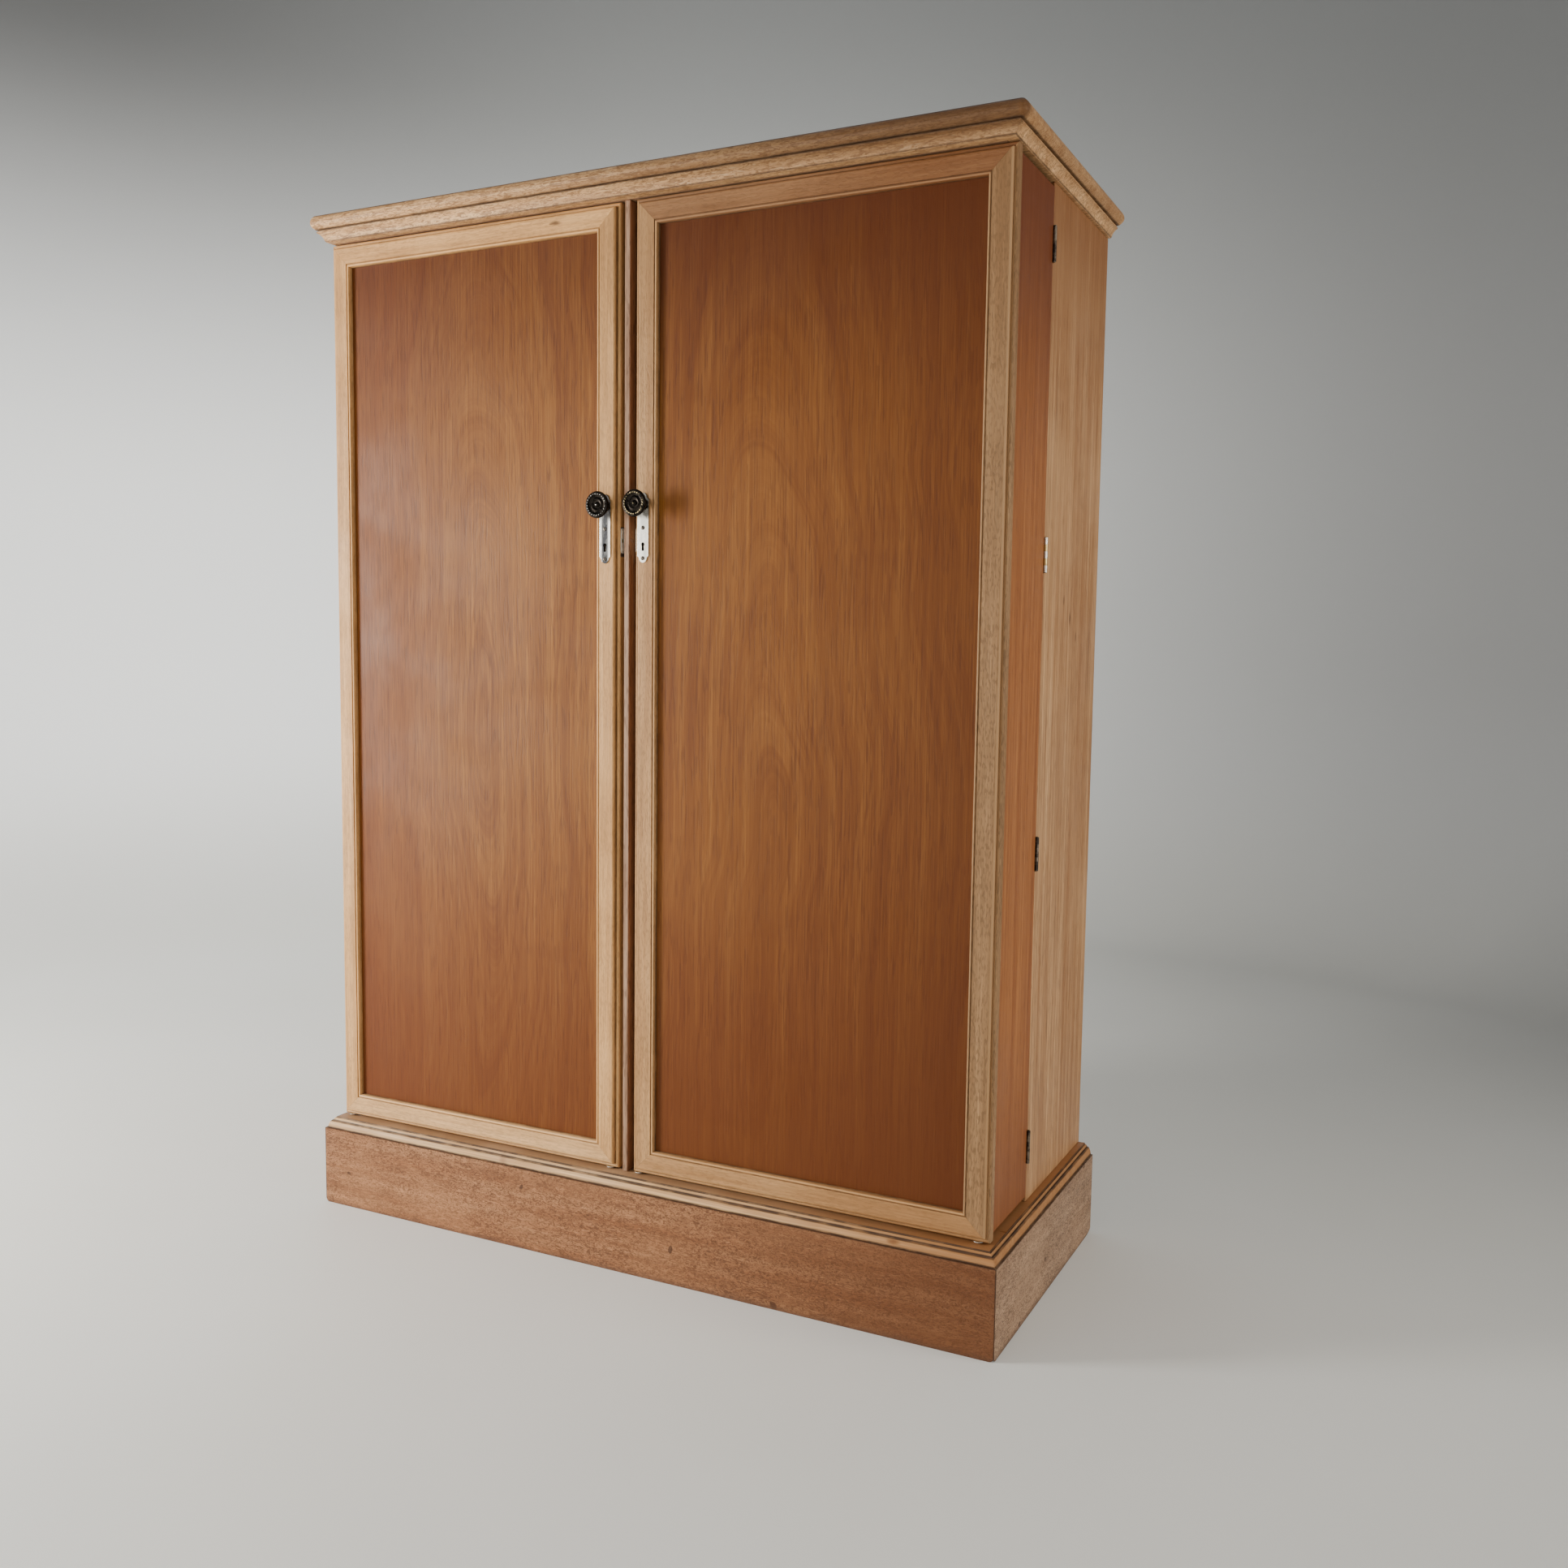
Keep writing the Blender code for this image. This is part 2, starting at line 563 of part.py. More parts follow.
def knuckle_outline(towards):
    """A knuckle with the tab that joins it to its leaf, in plan about the pin."""
    tab = LEAF_THICK + GAP / 2
    start = 180 - math.degrees(math.asin(tab / KNUCKLE_RADIUS))
    turn = 180 + math.degrees(math.asin(GAP / 2 / KNUCKLE_RADIUS))
    ring = arc((0, 0), (KNUCKLE_RADIUS, KNUCKLE_RADIUS), towards * start, -towards * turn, 16)
    inner = -KNUCKLE_RADIUS - 0.001
    return ring + [(inner, towards * GAP / 2), (inner, towards * tab)]


def knuckle_spans(kind):
    """Lowest and highest points of a leaf's own knuckles: the fixed leaf has the odd ones out."""
    pitch = 2 * HINGE_HALF / KNUCKLES
    first = 0 if kind == "fixed" else 1
    for index in range(first, KNUCKLES, 2):
        low = -HINGE_HALF + index * pitch
        yield low + KNUCKLE_GAP / 2, low + pitch - KNUCKLE_GAP / 2


def leaf_mesh(kind):
    """One leaf of a right-hand hinge about its pin. The fixed one is behind the joint, with the pin."""
    towards = 1 if kind == "fixed" else -1
    plate_low = (-LEAF_WIDTH, towards * GAP / 2, -HINGE_HALF)
    plate_high = (-KNUCKLE_RADIUS - GAP, towards * (LEAF_THICK + GAP / 2), HINGE_HALF)
    corners = [Vector(map(pick, plate_low, plate_high)) for pick in (min, max)]
    leaf = tool(add("leaf_" + kind, *box_points(*corners)))
    for low, high in knuckle_spans(kind):
        rings = [[(a, b, z) for a, b in knuckle_outline(towards)] for z in (low, high)]
        combine(leaf, add("knuckle_" + kind, *loft(rings)), "UNION")
    if kind == "fixed":
        rings = [[(a, b, z) for a, b in circle(PIN_RADIUS, 16)] for z in (-HINGE_HALF, HINGE_HALF)]
        combine(leaf, add("pin", *loft(rings)), "UNION")
    else:
        outline, reach = circle(PIN_RADIUS + PIN_CLEARANCE, 16), HINGE_HALF + OVERCUT
        rings = [[(a, b, z) for a, b in outline] for z in (-reach, reach)]
        combine(leaf, add("bore", *loft(rings)))
    bpy.context.view_layer.update()
    graph = bpy.context.evaluated_depsgraph_get()
    return bpy.data.meshes.new_from_object(leaf.evaluated_get(graph))


def build_hinges(pivots):
    meshes = {kind: leaf_mesh(kind) for kind in ("fixed", "moving")}
    for side, sign in SIGN.items():
        for number, height in enumerate(HINGE_HEIGHTS, 1):
            for kind, mesh in meshes.items():
                parent = pivots[side] if kind == "moving" else None
                name = f"{side}_hinge_{number}_{kind}_leaf"
                place = (sign * HINGE_AXIS, JOINT_PLANE, height)
                leaf = add_mesh(name, mesh.copy(), AGED_BRASS, place, parent)
                # Turned over about Y, a right-hand leaf is a left-hand one.
                leaf.rotation_euler = (0, math.pi if sign < 0 else 0, 0)


def build_doors():
    pivots = {}
    for side, sign in SIGN.items():
        pivots[side] = pivot(f"{side}_door_pivot", (sign * HINGE_AXIS, JOINT_PLANE, 0))
        for build in (build_frame, build_panel, build_box, build_backplate, build_knob, build_lock):
            build(side, pivots[side])
    build_hinges(pivots)


clear_scene()
build_base()
build_carcase()
build_cornice()
build_interior()
build_doors()
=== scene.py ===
"""The looks of a two-door compactum wardrobe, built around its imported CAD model."""

import math
import random

import bmesh
import bpy
from mathutils import Matrix, Vector


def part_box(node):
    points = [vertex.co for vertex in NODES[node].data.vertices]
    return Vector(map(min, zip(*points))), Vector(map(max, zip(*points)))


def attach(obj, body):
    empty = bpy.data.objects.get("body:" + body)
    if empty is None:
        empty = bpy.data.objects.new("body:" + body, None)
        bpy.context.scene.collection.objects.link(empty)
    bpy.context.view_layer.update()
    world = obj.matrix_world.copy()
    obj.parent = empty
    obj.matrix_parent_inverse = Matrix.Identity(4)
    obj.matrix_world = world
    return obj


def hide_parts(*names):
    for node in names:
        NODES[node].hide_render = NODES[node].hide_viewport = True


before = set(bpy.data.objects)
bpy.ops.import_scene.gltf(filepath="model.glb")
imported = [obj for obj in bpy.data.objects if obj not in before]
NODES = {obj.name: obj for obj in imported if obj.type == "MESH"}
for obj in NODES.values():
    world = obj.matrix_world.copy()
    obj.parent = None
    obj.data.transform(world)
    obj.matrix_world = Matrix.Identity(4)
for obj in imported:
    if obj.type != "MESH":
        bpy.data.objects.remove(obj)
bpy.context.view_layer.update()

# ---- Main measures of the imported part, in metres ----

DOOR_FACE = -0.2495
DOOR_BOTTOM, DOOR_TOP = 0.167, 1.768
HINGE_EDGE = 0.640
LOCK_EDGE = {"left": -0.0235, "right": 0.0068}
MOULDED_FRONT = (-0.2375, -0.2400)  # the depth at which a frame member's moulding starts
QUIRK, INNER_GROOVE = 0.0066, 0.0372  # places on a frame member, from its outer edge
PANEL_ARRIS, PANEL_JOINT = 0.0400, 0.0433
SIDE_FACE = 0.635
PLINTH_HALF, PLINTH_FACE = 0.6615, -0.2755
PLINTH_TOP = 0.1440
LEDGE_TOP = 0.163
STRIP_JOINTS = ((0.1443, 0.0026), (0.1563, 0.0022))  # height and half width of each dark line
LEDGE_GROOVES = ((0.0150, 0.0021), (0.0101, 0.0016))  # distance from the edge, and half width
CORNICE_JOINTS = ((1.7893, 0.0022), (1.7716, 0.0015), (1.8124, 0.0024))
CORNICE_SIDE = (0.645, 0.655)  # where the cornice's front gives way to its right side

# ---- Camera ----

CAMERA_PLACE = (1.2818, -2.2358, 1.0469)
CAMERA_YAW, CAMERA_PITCH, CAMERA_ROLL = 26.6, -5.22, 0.75
CAMERA_LENS = 32.68


def build_camera():
    yaw, pitch, roll = (math.radians(a) for a in (CAMERA_YAW, CAMERA_PITCH, CAMERA_ROLL))
    forward = Vector((-math.sin(yaw) * math.cos(pitch), math.cos(yaw) * math.cos(pitch), math.sin(pitch)))
    level = forward.cross(Vector((0, 0, 1))).normalized()
    upright = level.cross(forward)
    right = math.cos(roll) * level + math.sin(roll) * upright
    up = -math.sin(roll) * level + math.cos(roll) * upright
    data = bpy.data.cameras.new("camera")
    data.lens = CAMERA_LENS
    data.sensor_width = 36
    camera = bpy.data.objects.new("camera", data)
    bpy.context.scene.collection.objects.link(camera)
    turn = Matrix((right, up, -forward)).transposed().to_4x4()
    camera.matrix_world = Matrix.Translation(CAMERA_PLACE) @ turn
    bpy.context.scene.camera = camera


# ---- Node helpers ----


class Shading:
    """One material's nodes, written as calls. Positions are metres in the part's own frame."""

    def __init__(self, name):
        self.material = bpy.data.materials.new(name)
        self.material.use_nodes = True
        self.tree = self.material.node_tree
        self.shader = self.tree.nodes["Principled BSDF"]
        self.place = self.make("ShaderNodeTexCoord").outputs["Object"]
        split = self.make("ShaderNodeSeparateXYZ", {"Vector": self.place})
        self.x, self.y, self.z = (split.outputs[axis] for axis in "XYZ")

    def put(self, socket, value):
        if isinstance(value, bpy.types.NodeSocket):
            self.tree.links.new(value, socket)
        else:
            socket.default_value = value

    def make(self, kind, inputs=None, **settings):
        node = self.tree.nodes.new(kind)
        for key, value in settings.items():
            setattr(node, key, value)
        for key, value in (inputs or {}).items():
            self.put(node.inputs[key], value)
        return node

    def math(self, operation, a, b=0.0, clamp=False):
        node = self.make("ShaderNodeMath", {0: a, 1: b}, operation=operation, use_clamp=clamp)
        return node.outputs[0]

    def times(self, a, b):
        return self.math("MULTIPLY", a, b)

    def plus(self, a, b):
        return self.math("ADD", a, b)

    def minus(self, a, b, clamp=False):
        return self.math("SUBTRACT", a, b, clamp)

    def vector(self, operation, a, b=(0, 0, 0), output="Vector"):
        return self.make("ShaderNodeVectorMath", {0: a, 1: b}, operation=operation).outputs[output]

    def stretch(self, scale, offset=(0, 0, 0)):
        inputs = {"Vector": self.place, "Scale": scale, "Location": offset}
        return self.make("ShaderNodeMapping", inputs).outputs[0]

    def noise(self, vector, scale=1.0, detail=2.0, roughness=0.5, distortion=0.0):
        inputs = {"Vector": vector, "Scale": scale, "Detail": detail, "Roughness": roughness}
        node = self.make("ShaderNodeTexNoise", {**inputs, "Distortion": distortion})
        return node.outputs["Fac"]

    def ramp(self, value, *stops):
        node = self.make("ShaderNodeValToRGB", {"Fac": value})
        steps = node.color_ramp.elements
        while len(steps) < len(stops):
            steps.new(0.5)
        for step, (place, colour) in zip(steps, stops):
            step.position = place
            step.color = (*colour, 1) if isinstance(colour, tuple) else (colour, colour, colour, 1)
        return node.outputs["Color"]

    def blend(self, a, b, factor, kind="MIX"):
        node = self.make("ShaderNodeMix", data_type="RGBA", blend_type=kind)
        sockets = {socket.identifier: socket for socket in node.inputs}
        for key, value in {"Factor_Float": factor, "A_Color": a, "B_Color": b}.items():
            self.put(sockets[key], (*value, 1) if isinstance(value, tuple) else value)
        return next(socket for socket in node.outputs if socket.identifier == "Result_Color")

    def span(self, value, low, high, start=0.0, end=1.0):
        """start where value is low, end where it is high, and a smooth change between."""
        inputs = {"Value": value, "From Min": low, "From Max": high, "To Min": start, "To Max": end}
        return self.make("ShaderNodeMapRange", inputs, interpolation_type="SMOOTHSTEP").outputs[0]

    def line(self, value, centre, half_width):
        """1 where value is at the centre, and 0 beyond half_width of it."""
        away = self.math("ABSOLUTE", self.minus(value, centre))
        return self.span(away, half_width * 0.3, half_width, 1.0, 0.0)

    def bump(self, height, strength, distance):
        inputs = {"Height": height, "Strength": strength, "Distance": distance}
        return self.make("ShaderNodeBump", inputs).outputs["Normal"]

    def finish(self, **inputs):
        for key, value in inputs.items():
            name = key.replace("_", " ").title().replace("Ior", "IOR")
            self.put(self.shader.inputs[name], (*value, 1) if isinstance(value, tuple) else value)
        return self.material


ALONG = {"x": 0, "y": 1, "z": 2}


def grain_scale(along, across, length):
    """Mapping scale for a pattern that repeats every 1/across metres, and 1/length along the grain."""
    return tuple(length if i == ALONG[along] else across for i in range(3))


class Wood(Shading):
    """Wood whose grain runs along one axis. A board's seed picks its own stretch of the tree."""

    def __init__(self, name, along, seed):
        super().__init__(name)
        self.along = along
        draw = random.Random(seed)
        self.offset = tuple(draw.uniform(-40, 40) for _ in range(3))
        self.heights = []

    def grain(self, across, length, detail=3.0, roughness=0.55, distortion=0.0):
        scale = grain_scale(self.along, across, length)
        return self.noise(self.stretch(scale, self.offset), 1.0, detail, roughness, distortion)

    def fibre(self, colour, across, length, dark, strength):
        """Fine streaks of a darker colour along the grain."""
        streak = self.grain(across, length)
        shade = self.span(streak, 0.60, 0.40)
        self.heights.append(streak)
        return self.blend(colour, dark, self.times(shade, strength))

    def pores(self, colour, across, length, cover, dark, strength):
        """Short dark dashes along the grain. cover is the noise level over which there's a pore."""
        dash = self.grain(across, length, 1.0, 0.4)
        mask = self.span(dash, cover, cover + 0.07)
        self.heights.append(self.minus(1.0, mask))
        return self.blend(colour, dark, self.times(mask, strength))

    def patches(self, colour, scale, other, strength, low=0.45, high=0.7):
        mask = self.span(self.noise(self.stretch((scale,) * 3, self.offset), 1.0, 3.0), low, high)
        return self.blend(colour, other, self.times(mask, strength))

    def dirt_and_shade(self, colour, *lines, dark=(0.045, 0.022, 0.012), strength=0.8):
        """Darkening in narrow places, partly grime and partly painted shade, uneven along its length."""
        uneven = self.span(self.grain(30, 30), 0.25, 0.6, 0.55, 1.0)
        for mask in lines:
            amount = self.times(self.times(mask, strength), uneven)
            colour = self.blend(colour, dark, amount)
        return colour

    def knots(self, colour, marks, dark=(0.055, 0.020, 0.009)):
        """Small dark knots, nail holes and stains at given points."""
        for point, radius, strength in marks:
            aside = self.vector("SUBTRACT", self.place, point)
            aside = self.vector("MULTIPLY", aside, grain_scale(self.along, 1.0, 0.35))
            away = self.vector("LENGTH", aside, output="Value")
            ragged = self.plus(away, self.times(self.grain(90, 30), radius * 0.8))
            mask = self.span(ragged, radius * 0.7, radius * 1.5, strength, 0.0)
            colour = self.blend(colour, dark, mask)
        return colour

    def varnish(self, colour, rough=(0.38, 0.55), bump=0.25, depth=0.0004, specular=0.25):
        height = self.heights[0]
        for other in self.heights[1:]:
            height = self.plus(height, other)
        smears = self.noise(self.stretch((6, 6, 6), self.offset), 1.0, 3.0)
        roughness = self.span(smears, 0.3, 0.7, *rough)
        normal = self.bump(height, bump, depth)
        looks = {"base_color": colour, "roughness": roughness, "normal": normal}
        return self.finish(**looks, specular_ior_level=specular)


def paint(material, *names):
    for name in names:
        slots = NODES[name].data.materials
        slots.clear()
        slots.append(material)


# ---- Veneer and boards ----

VENEER_DARK = (0.115, 0.0290, 0.0036)
VENEER_MID = (0.278, 0.1000, 0.0150)
VENEER_LIGHT = (0.420, 0.1800, 0.0360)
VENEER_RED = (0.205, 0.0520, 0.0050)
VENEER_RIPPLE = 0.011
VENEER_HEAD = (0.064, 0.0130, 0.0034)
VENEER_FOOT = (0.120, 0.028, 0.0045)
VENEER_SHADE = (0.092, 0.022, 0.0040)


def veneer(name, seed, centre, figure, top_shade, foot_shade, right_shade):
    """Crown-cut veneer: a leaning trunk's rings, as nested arches between straight lines."""
    wood = Wood(name, "z", seed)
    sway = wood.minus(wood.noise(wood.stretch((1.5, 1.5, 1.9), wood.offset), 1.0, 2.0), 0.5)
    ripple = wood.minus(wood.noise(wood.stretch((9, 9, 5), wood.offset), 1.0, 2.0), 0.5)
    across = wood.plus(wood.minus(wood.x, centre), wood.times(sway, figure["sway"]))
    across = wood.plus(across, wood.times(ripple, VENEER_RIPPLE))
    lean = wood.times(wood.minus(wood.z, figure["foot"]), figure["lean"])
    deep = wood.plus(lean, wood.times(sway, figure["wave"]))
    squares = [wood.times(value, value) for value in (across, deep)]
    radius = wood.math("SQRT", wood.plus(*squares))
    year = wood.times(radius, figure["rings"])
    ring = wood.math("FRACT", year)
    late = wood.ramp(ring, (0.0, 0.62), (0.55, 0.50), (0.88, 0.18), (1.0, 0.62))
    path = wood.make("ShaderNodeCombineXYZ", {"X": year, "Y": wood.times(wood.z, 0.9)})
    lines = wood.noise(path.outputs[0], 0.42, 6.0, 0.72)
    tone = wood.blend(wood.span(lines, 0.34, 0.66), late, 0.22)
    colour = wood.ramp(tone, (0.0, VENEER_DARK), (0.45, VENEER_MID), (0.98, VENEER_LIGHT))
    colour = wood.blend(VENEER_MID, colour, figure["contrast"])
    leftward = wood.minus(centre, wood.x)
    colour = wood.blend(colour, VENEER_RED, wood.span(leftward, 0.02, 0.28, 0.0, figure["edge"]))
    colour = wood.fibre(colour, 42, 0.35, VENEER_DARK, 0.13)
    colour = wood.fibre(colour, 110, 0.8, VENEER_DARK, 0.20)
    colour = wood.fibre(colour, 290, 1.5, VENEER_DARK, 0.30)
    colour = wood.fibre(colour, 560, 6, VENEER_DARK, 0.36)
    colour = wood.pores(colour, 420, 22, 0.57, (0.060, 0.014, 0.0016), 0.36)
    colour = wood.patches(colour, 3.2, VENEER_LIGHT, 0.16, 0.45, 0.78)
    mottle = wood.noise(wood.stretch((6, 6, 20), wood.offset), 1.0, 3.0)
    colour = wood.blend(colour, VENEER_DARK, wood.span(mottle, 0.50, 0.80, 0.0, 0.16))
    # Painted shade towards the top, the bottom and the right-hand side of the panel.
    colour = wood.blend(colour, VENEER_HEAD, wood.span(wood.z, 1.28, 1.84, 0.0, top_shade))
    colour = wood.blend(colour, VENEER_FOOT, wood.span(wood.z, 0.92, 0.17, 0.0, foot_shade))
    colour = wood.blend(colour, VENEER_SHADE, wood.span(wood.x, *right_shade))
    return wood.varnish(colour, (0.40, 0.54), 0.20, 0.0003, 0.17)


def side_veneer():
    """The straight, red-brown veneer on the edges of the doors, darker towards the top and the bottom by
    painted shade.
    """
    wood = Wood("door_edge_veneer", "z", 31)
    low, high = (0.315, 0.108, 0.0300), (0.490, 0.198, 0.0600)
    colour = wood.ramp(wood.grain(60, 0.7), (0.30, low), (0.72, high))
    colour = wood.fibre(colour, 190, 2.5, (0.22, 0.062, 0.013), 0.30)
    colour = wood.fibre(colour, 460, 6, (0.17, 0.046, 0.010), 0.34)
    colour = wood.pores(colour, 500, 40, 0.58, (0.10, 0.026, 0.006), 0.30)
    # Painted shade towards the top and the bottom.
    colour = wood.blend(colour, (0.105, 0.020, 0.0045), wood.span(wood.z, 1.20, 1.78, 0.0, 0.86))
    colour = wood.blend(colour, (0.17, 0.045, 0.0100), wood.span(wood.z, 0.50, 0.17, 0.0, 0.60))
    return wood.varnish(colour, (0.42, 0.55), 0.2, 0.0003)


def side_board(name, seed, marks=()):
    """Blond, straight-grained side with broad streaks, dark marks and a top browned by painted shade."""
    wood = Wood(name, "z", seed)
    low, high = (0.450, 0.232, 0.104), (0.740, 0.445, 0.215)
    colour = wood.ramp(wood.grain(26, 0.9, 3), (0.30, low), (0.70, high))
    colour = wood.fibre(colour, 85, 1.0, (0.33, 0.142, 0.048), 0.46)
    colour = wood.fibre(colour, 210, 2.2, (0.25, 0.100, 0.032), 0.46)
    colour = wood.fibre(colour, 480, 7, (0.22, 0.095, 0.034), 0.40)
    colour = wood.pores(colour, 480, 36, 0.58, (0.15, 0.062, 0.024), 0.45)
    stains = wood.span(wood.grain(75, 3.2, 2), 0.66, 0.74, 0.0, 0.55)
    colour = wood.blend(colour, (0.11, 0.052, 0.026), stains)
    colour = wood.patches(colour, 4, (0.66, 0.390, 0.185), 0.3)
    # Painted shade browning the top.
    colour = wood.blend(colour, (0.21, 0.080, 0.024), wood.span(wood.z, 1.35, 1.78, 0.0, 0.74))
    colour = wood.knots(colour, marks)
    return wood.varnish(colour, (0.42, 0.58), 0.25, 0.0004)


TAN = ((0.540, 0.268, 0.092), (0.810, 0.455, 0.185))


def frame_board(name, along, seed, tones, edge, span, flecks, groove_dirt_and_shade, shade=None, marks=()):
    """A door frame member. edge is its outer edge across the grain, and span points inward (1 or -1)."""
    wood = Wood(name, along, seed)
    low, high = tones
    darker = tuple(channel * 0.45 for channel in low)
    colour = wood.ramp(wood.grain(42, 1.4), (0.36, low), (0.64, high))
    colour = wood.fibre(colour, 150, 4, low, 0.42)
    colour = wood.fibre(colour, 330, 9, darker, 0.26)
    colour = wood.fibre(colour, 650, 30, darker, flecks * 0.5)
    colour = wood.pores(colour, 380, 100, 0.52, darker, flecks * 0.8)
    colour = wood.patches(colour, 7, high, 0.30)
    if shade:
        axis, start, end, other, amount = shade
        colour = wood.blend(colour, other, wood.span(getattr(wood, axis), start, end, 0.0, amount))
    across = wood.x if along == "z" else wood.z
    inward = wood.times(wood.minus(across, edge), span)
    front = wood.span(wood.y, *MOULDED_FRONT)
    # Grime and painted shade in the quirk, the inner groove and the panel joint.
    grooves = ((QUIRK, 0.0009), (INNER_GROOVE, 0.0009), (PANEL_JOINT, 0.0013))
    for (place, half_width), strength in zip(grooves, groove_dirt_and_shade):
        line = wood.times(wood.line(inward, place, half_width), front)
        colour = wood.dirt_and_shade(colour, line, strength=strength)
    # Painted light: a quirk given none of that is painted in the lighter tone, to lift its shade.
    if not groove_dirt_and_shade[0]:
        colour = wood.blend(colour, high, wood.line(inward, QUIRK, 0.0040))
    # Painted highlight along the panel's raised edge.
    arris_highlight = wood.times(wood.line(inward, PANEL_ARRIS, 0.0016), front)
    colour = wood.blend(colour, tuple(min(1, c * 1.15) for c in high), wood.times(arris_highlight, 0.5))
    colour = wood.knots(colour, marks)
    return wood.varnish(colour, (0.42, 0.60), 0.35, 0.0004, 0.22)


def plinth_wood(name, along, seed, tones, end_shade, marks=()):
    """Open-pored, pink-brown wood with a curly fleck, dark spots, a darker lower edge and painted shade
    towards its right-hand end.
    """
    wood = Wood(name, along, seed)
    low, high = tones
    curl = wood.noise(wood.stretch((24, 24, 50), wood.offset), 1.0, 2.0)
    colour = wood.ramp(wood.grain(34, 2.4, 3), (0.34, low), (0.66, high))
    colour = wood.blend(colour, tuple(c * 0.70 for c in low), wood.span(curl, 0.48, 0.72, 0.0, 0.40))
    darker = tuple(c * 0.40 for c in low)
    for across, length, strength in ((170, 75, 0.72), (300, 120, 0.72)):
        fleck = wood.grain(across, length, 2, 0.6, 2.2)
        mask = wood.span(fleck, 0.50, 0.60)
        wood.heights.append(wood.minus(1.0, mask))
        colour = wood.blend(colour, darker, wood.times(mask, strength))
    pale = wood.span(wood.grain(260, 40, 2, 0.6, 1.6), 0.56, 0.68, 0.0, 0.45)
    colour = wood.blend(colour, tuple(min(1, c * 1.35) for c in high), pale)
    colour = wood.fibre(colour, 120, 5, darker, 0.20)
    colour = wood.patches(colour, 6, high, 0.25)
    spots = wood.span(wood.noise(wood.stretch((38, 38, 38), wood.offset), 1.0, 1.0), 0.735, 0.77)
    colour = wood.blend(colour, (0.06, 0.028, 0.016), wood.times(spots, 0.75))
    colour = wood.blend(colour, (0.120, 0.040, 0.0125), wood.span(wood.x, -0.10, 0.66, 0.0, end_shade))
    # Darker within a few millimetres of the floor, by an uneven amount.
    uneven = wood.span(wood.grain(20, 20), 0.3, 0.7, 0.004, 0.014)
    near_floor_dark = wood.minus(1.0, wood.math("DIVIDE", wood.z, uneven), True)
    colour = wood.blend(colour, (0.09, 0.045, 0.028), wood.times(near_floor_dark, 0.65))
    sideways = wood.line(wood.math("ABSOLUTE", wood.x), PLINTH_HALF, 0.0026)
    corner = wood.times(sideways, wood.line(wood.y, PLINTH_FACE, 0.0026))
    colour = wood.dirt_and_shade(colour, wood.line(wood.z, PLINTH_TOP, 0.0022), corner, strength=0.75)
    colour = wood.knots(colour, marks)
    return wood.varnish(colour, (0.50, 0.68), 0.5, 0.0005, 0.18)


def base_strip():
    """The base moulding: a pale worn slope, dark grooves and a greyish ledge, with painted shade towards
    its right-hand end.
    """
    wood = Wood("base_strip", "x", 51)
    low, high = (0.610, 0.345, 0.145), (0.850, 0.560, 0.285)
    colour = wood.ramp(wood.grain(50, 2.2), (0.30, low), (0.70, high))
    colour = wood.fibre(colour, 190, 6, (0.40, 0.190, 0.072), 0.34)
    colour = wood.fibre(colour, 460, 14, (0.27, 0.125, 0.046), 0.36)
    ledge = wood.span(wood.z, 0.1618, 0.1626)
    colour = wood.blend(colour, (0.36, 0.205, 0.110), wood.times(ledge, 0.75))
    colour = wood.patches(colour, 9, (0.62, 0.40, 0.23), 0.4)
    knots = wood.span(wood.noise(wood.stretch((13, 13, 13), (3, 8, 1)), 1.0, 1.0), 0.70, 0.78)
    colour = wood.blend(colour, (0.20, 0.085, 0.035), wood.times(knots, 0.7))
    marks = [((0.495, -0.272, 0.1520), 0.0050, 0.9), ((0.6413, -0.1799, LEDGE_TOP), 0.0032, 1.0)]
    colour = wood.knots(colour, marks)
    # Painted shade towards the right-hand end.
    colour = wood.blend(colour, (0.300, 0.108, 0.024), wood.span(wood.x, 0.05, 0.66, 0.0, 0.72))
    joints = [wood.line(wood.z, *joint) for joint in STRIP_JOINTS]
    colour = wood.dirt_and_shade(colour, *joints, strength=0.9)
    inset = wood.math("MAXIMUM", wood.minus(PLINTH_HALF, wood.math("ABSOLUTE", wood.x)), 0.0)
    forward = wood.minus(wood.y, PLINTH_FACE)
    distance = wood.math("MINIMUM", inset, forward)
    grooves = [wood.line(distance, *groove) for groove in LEDGE_GROOVES]
    colour = wood.dirt_and_shade(colour, *grooves, strength=0.9)
    return wood.varnish(colour, (0.42, 0.62), 0.3, 0.0004)


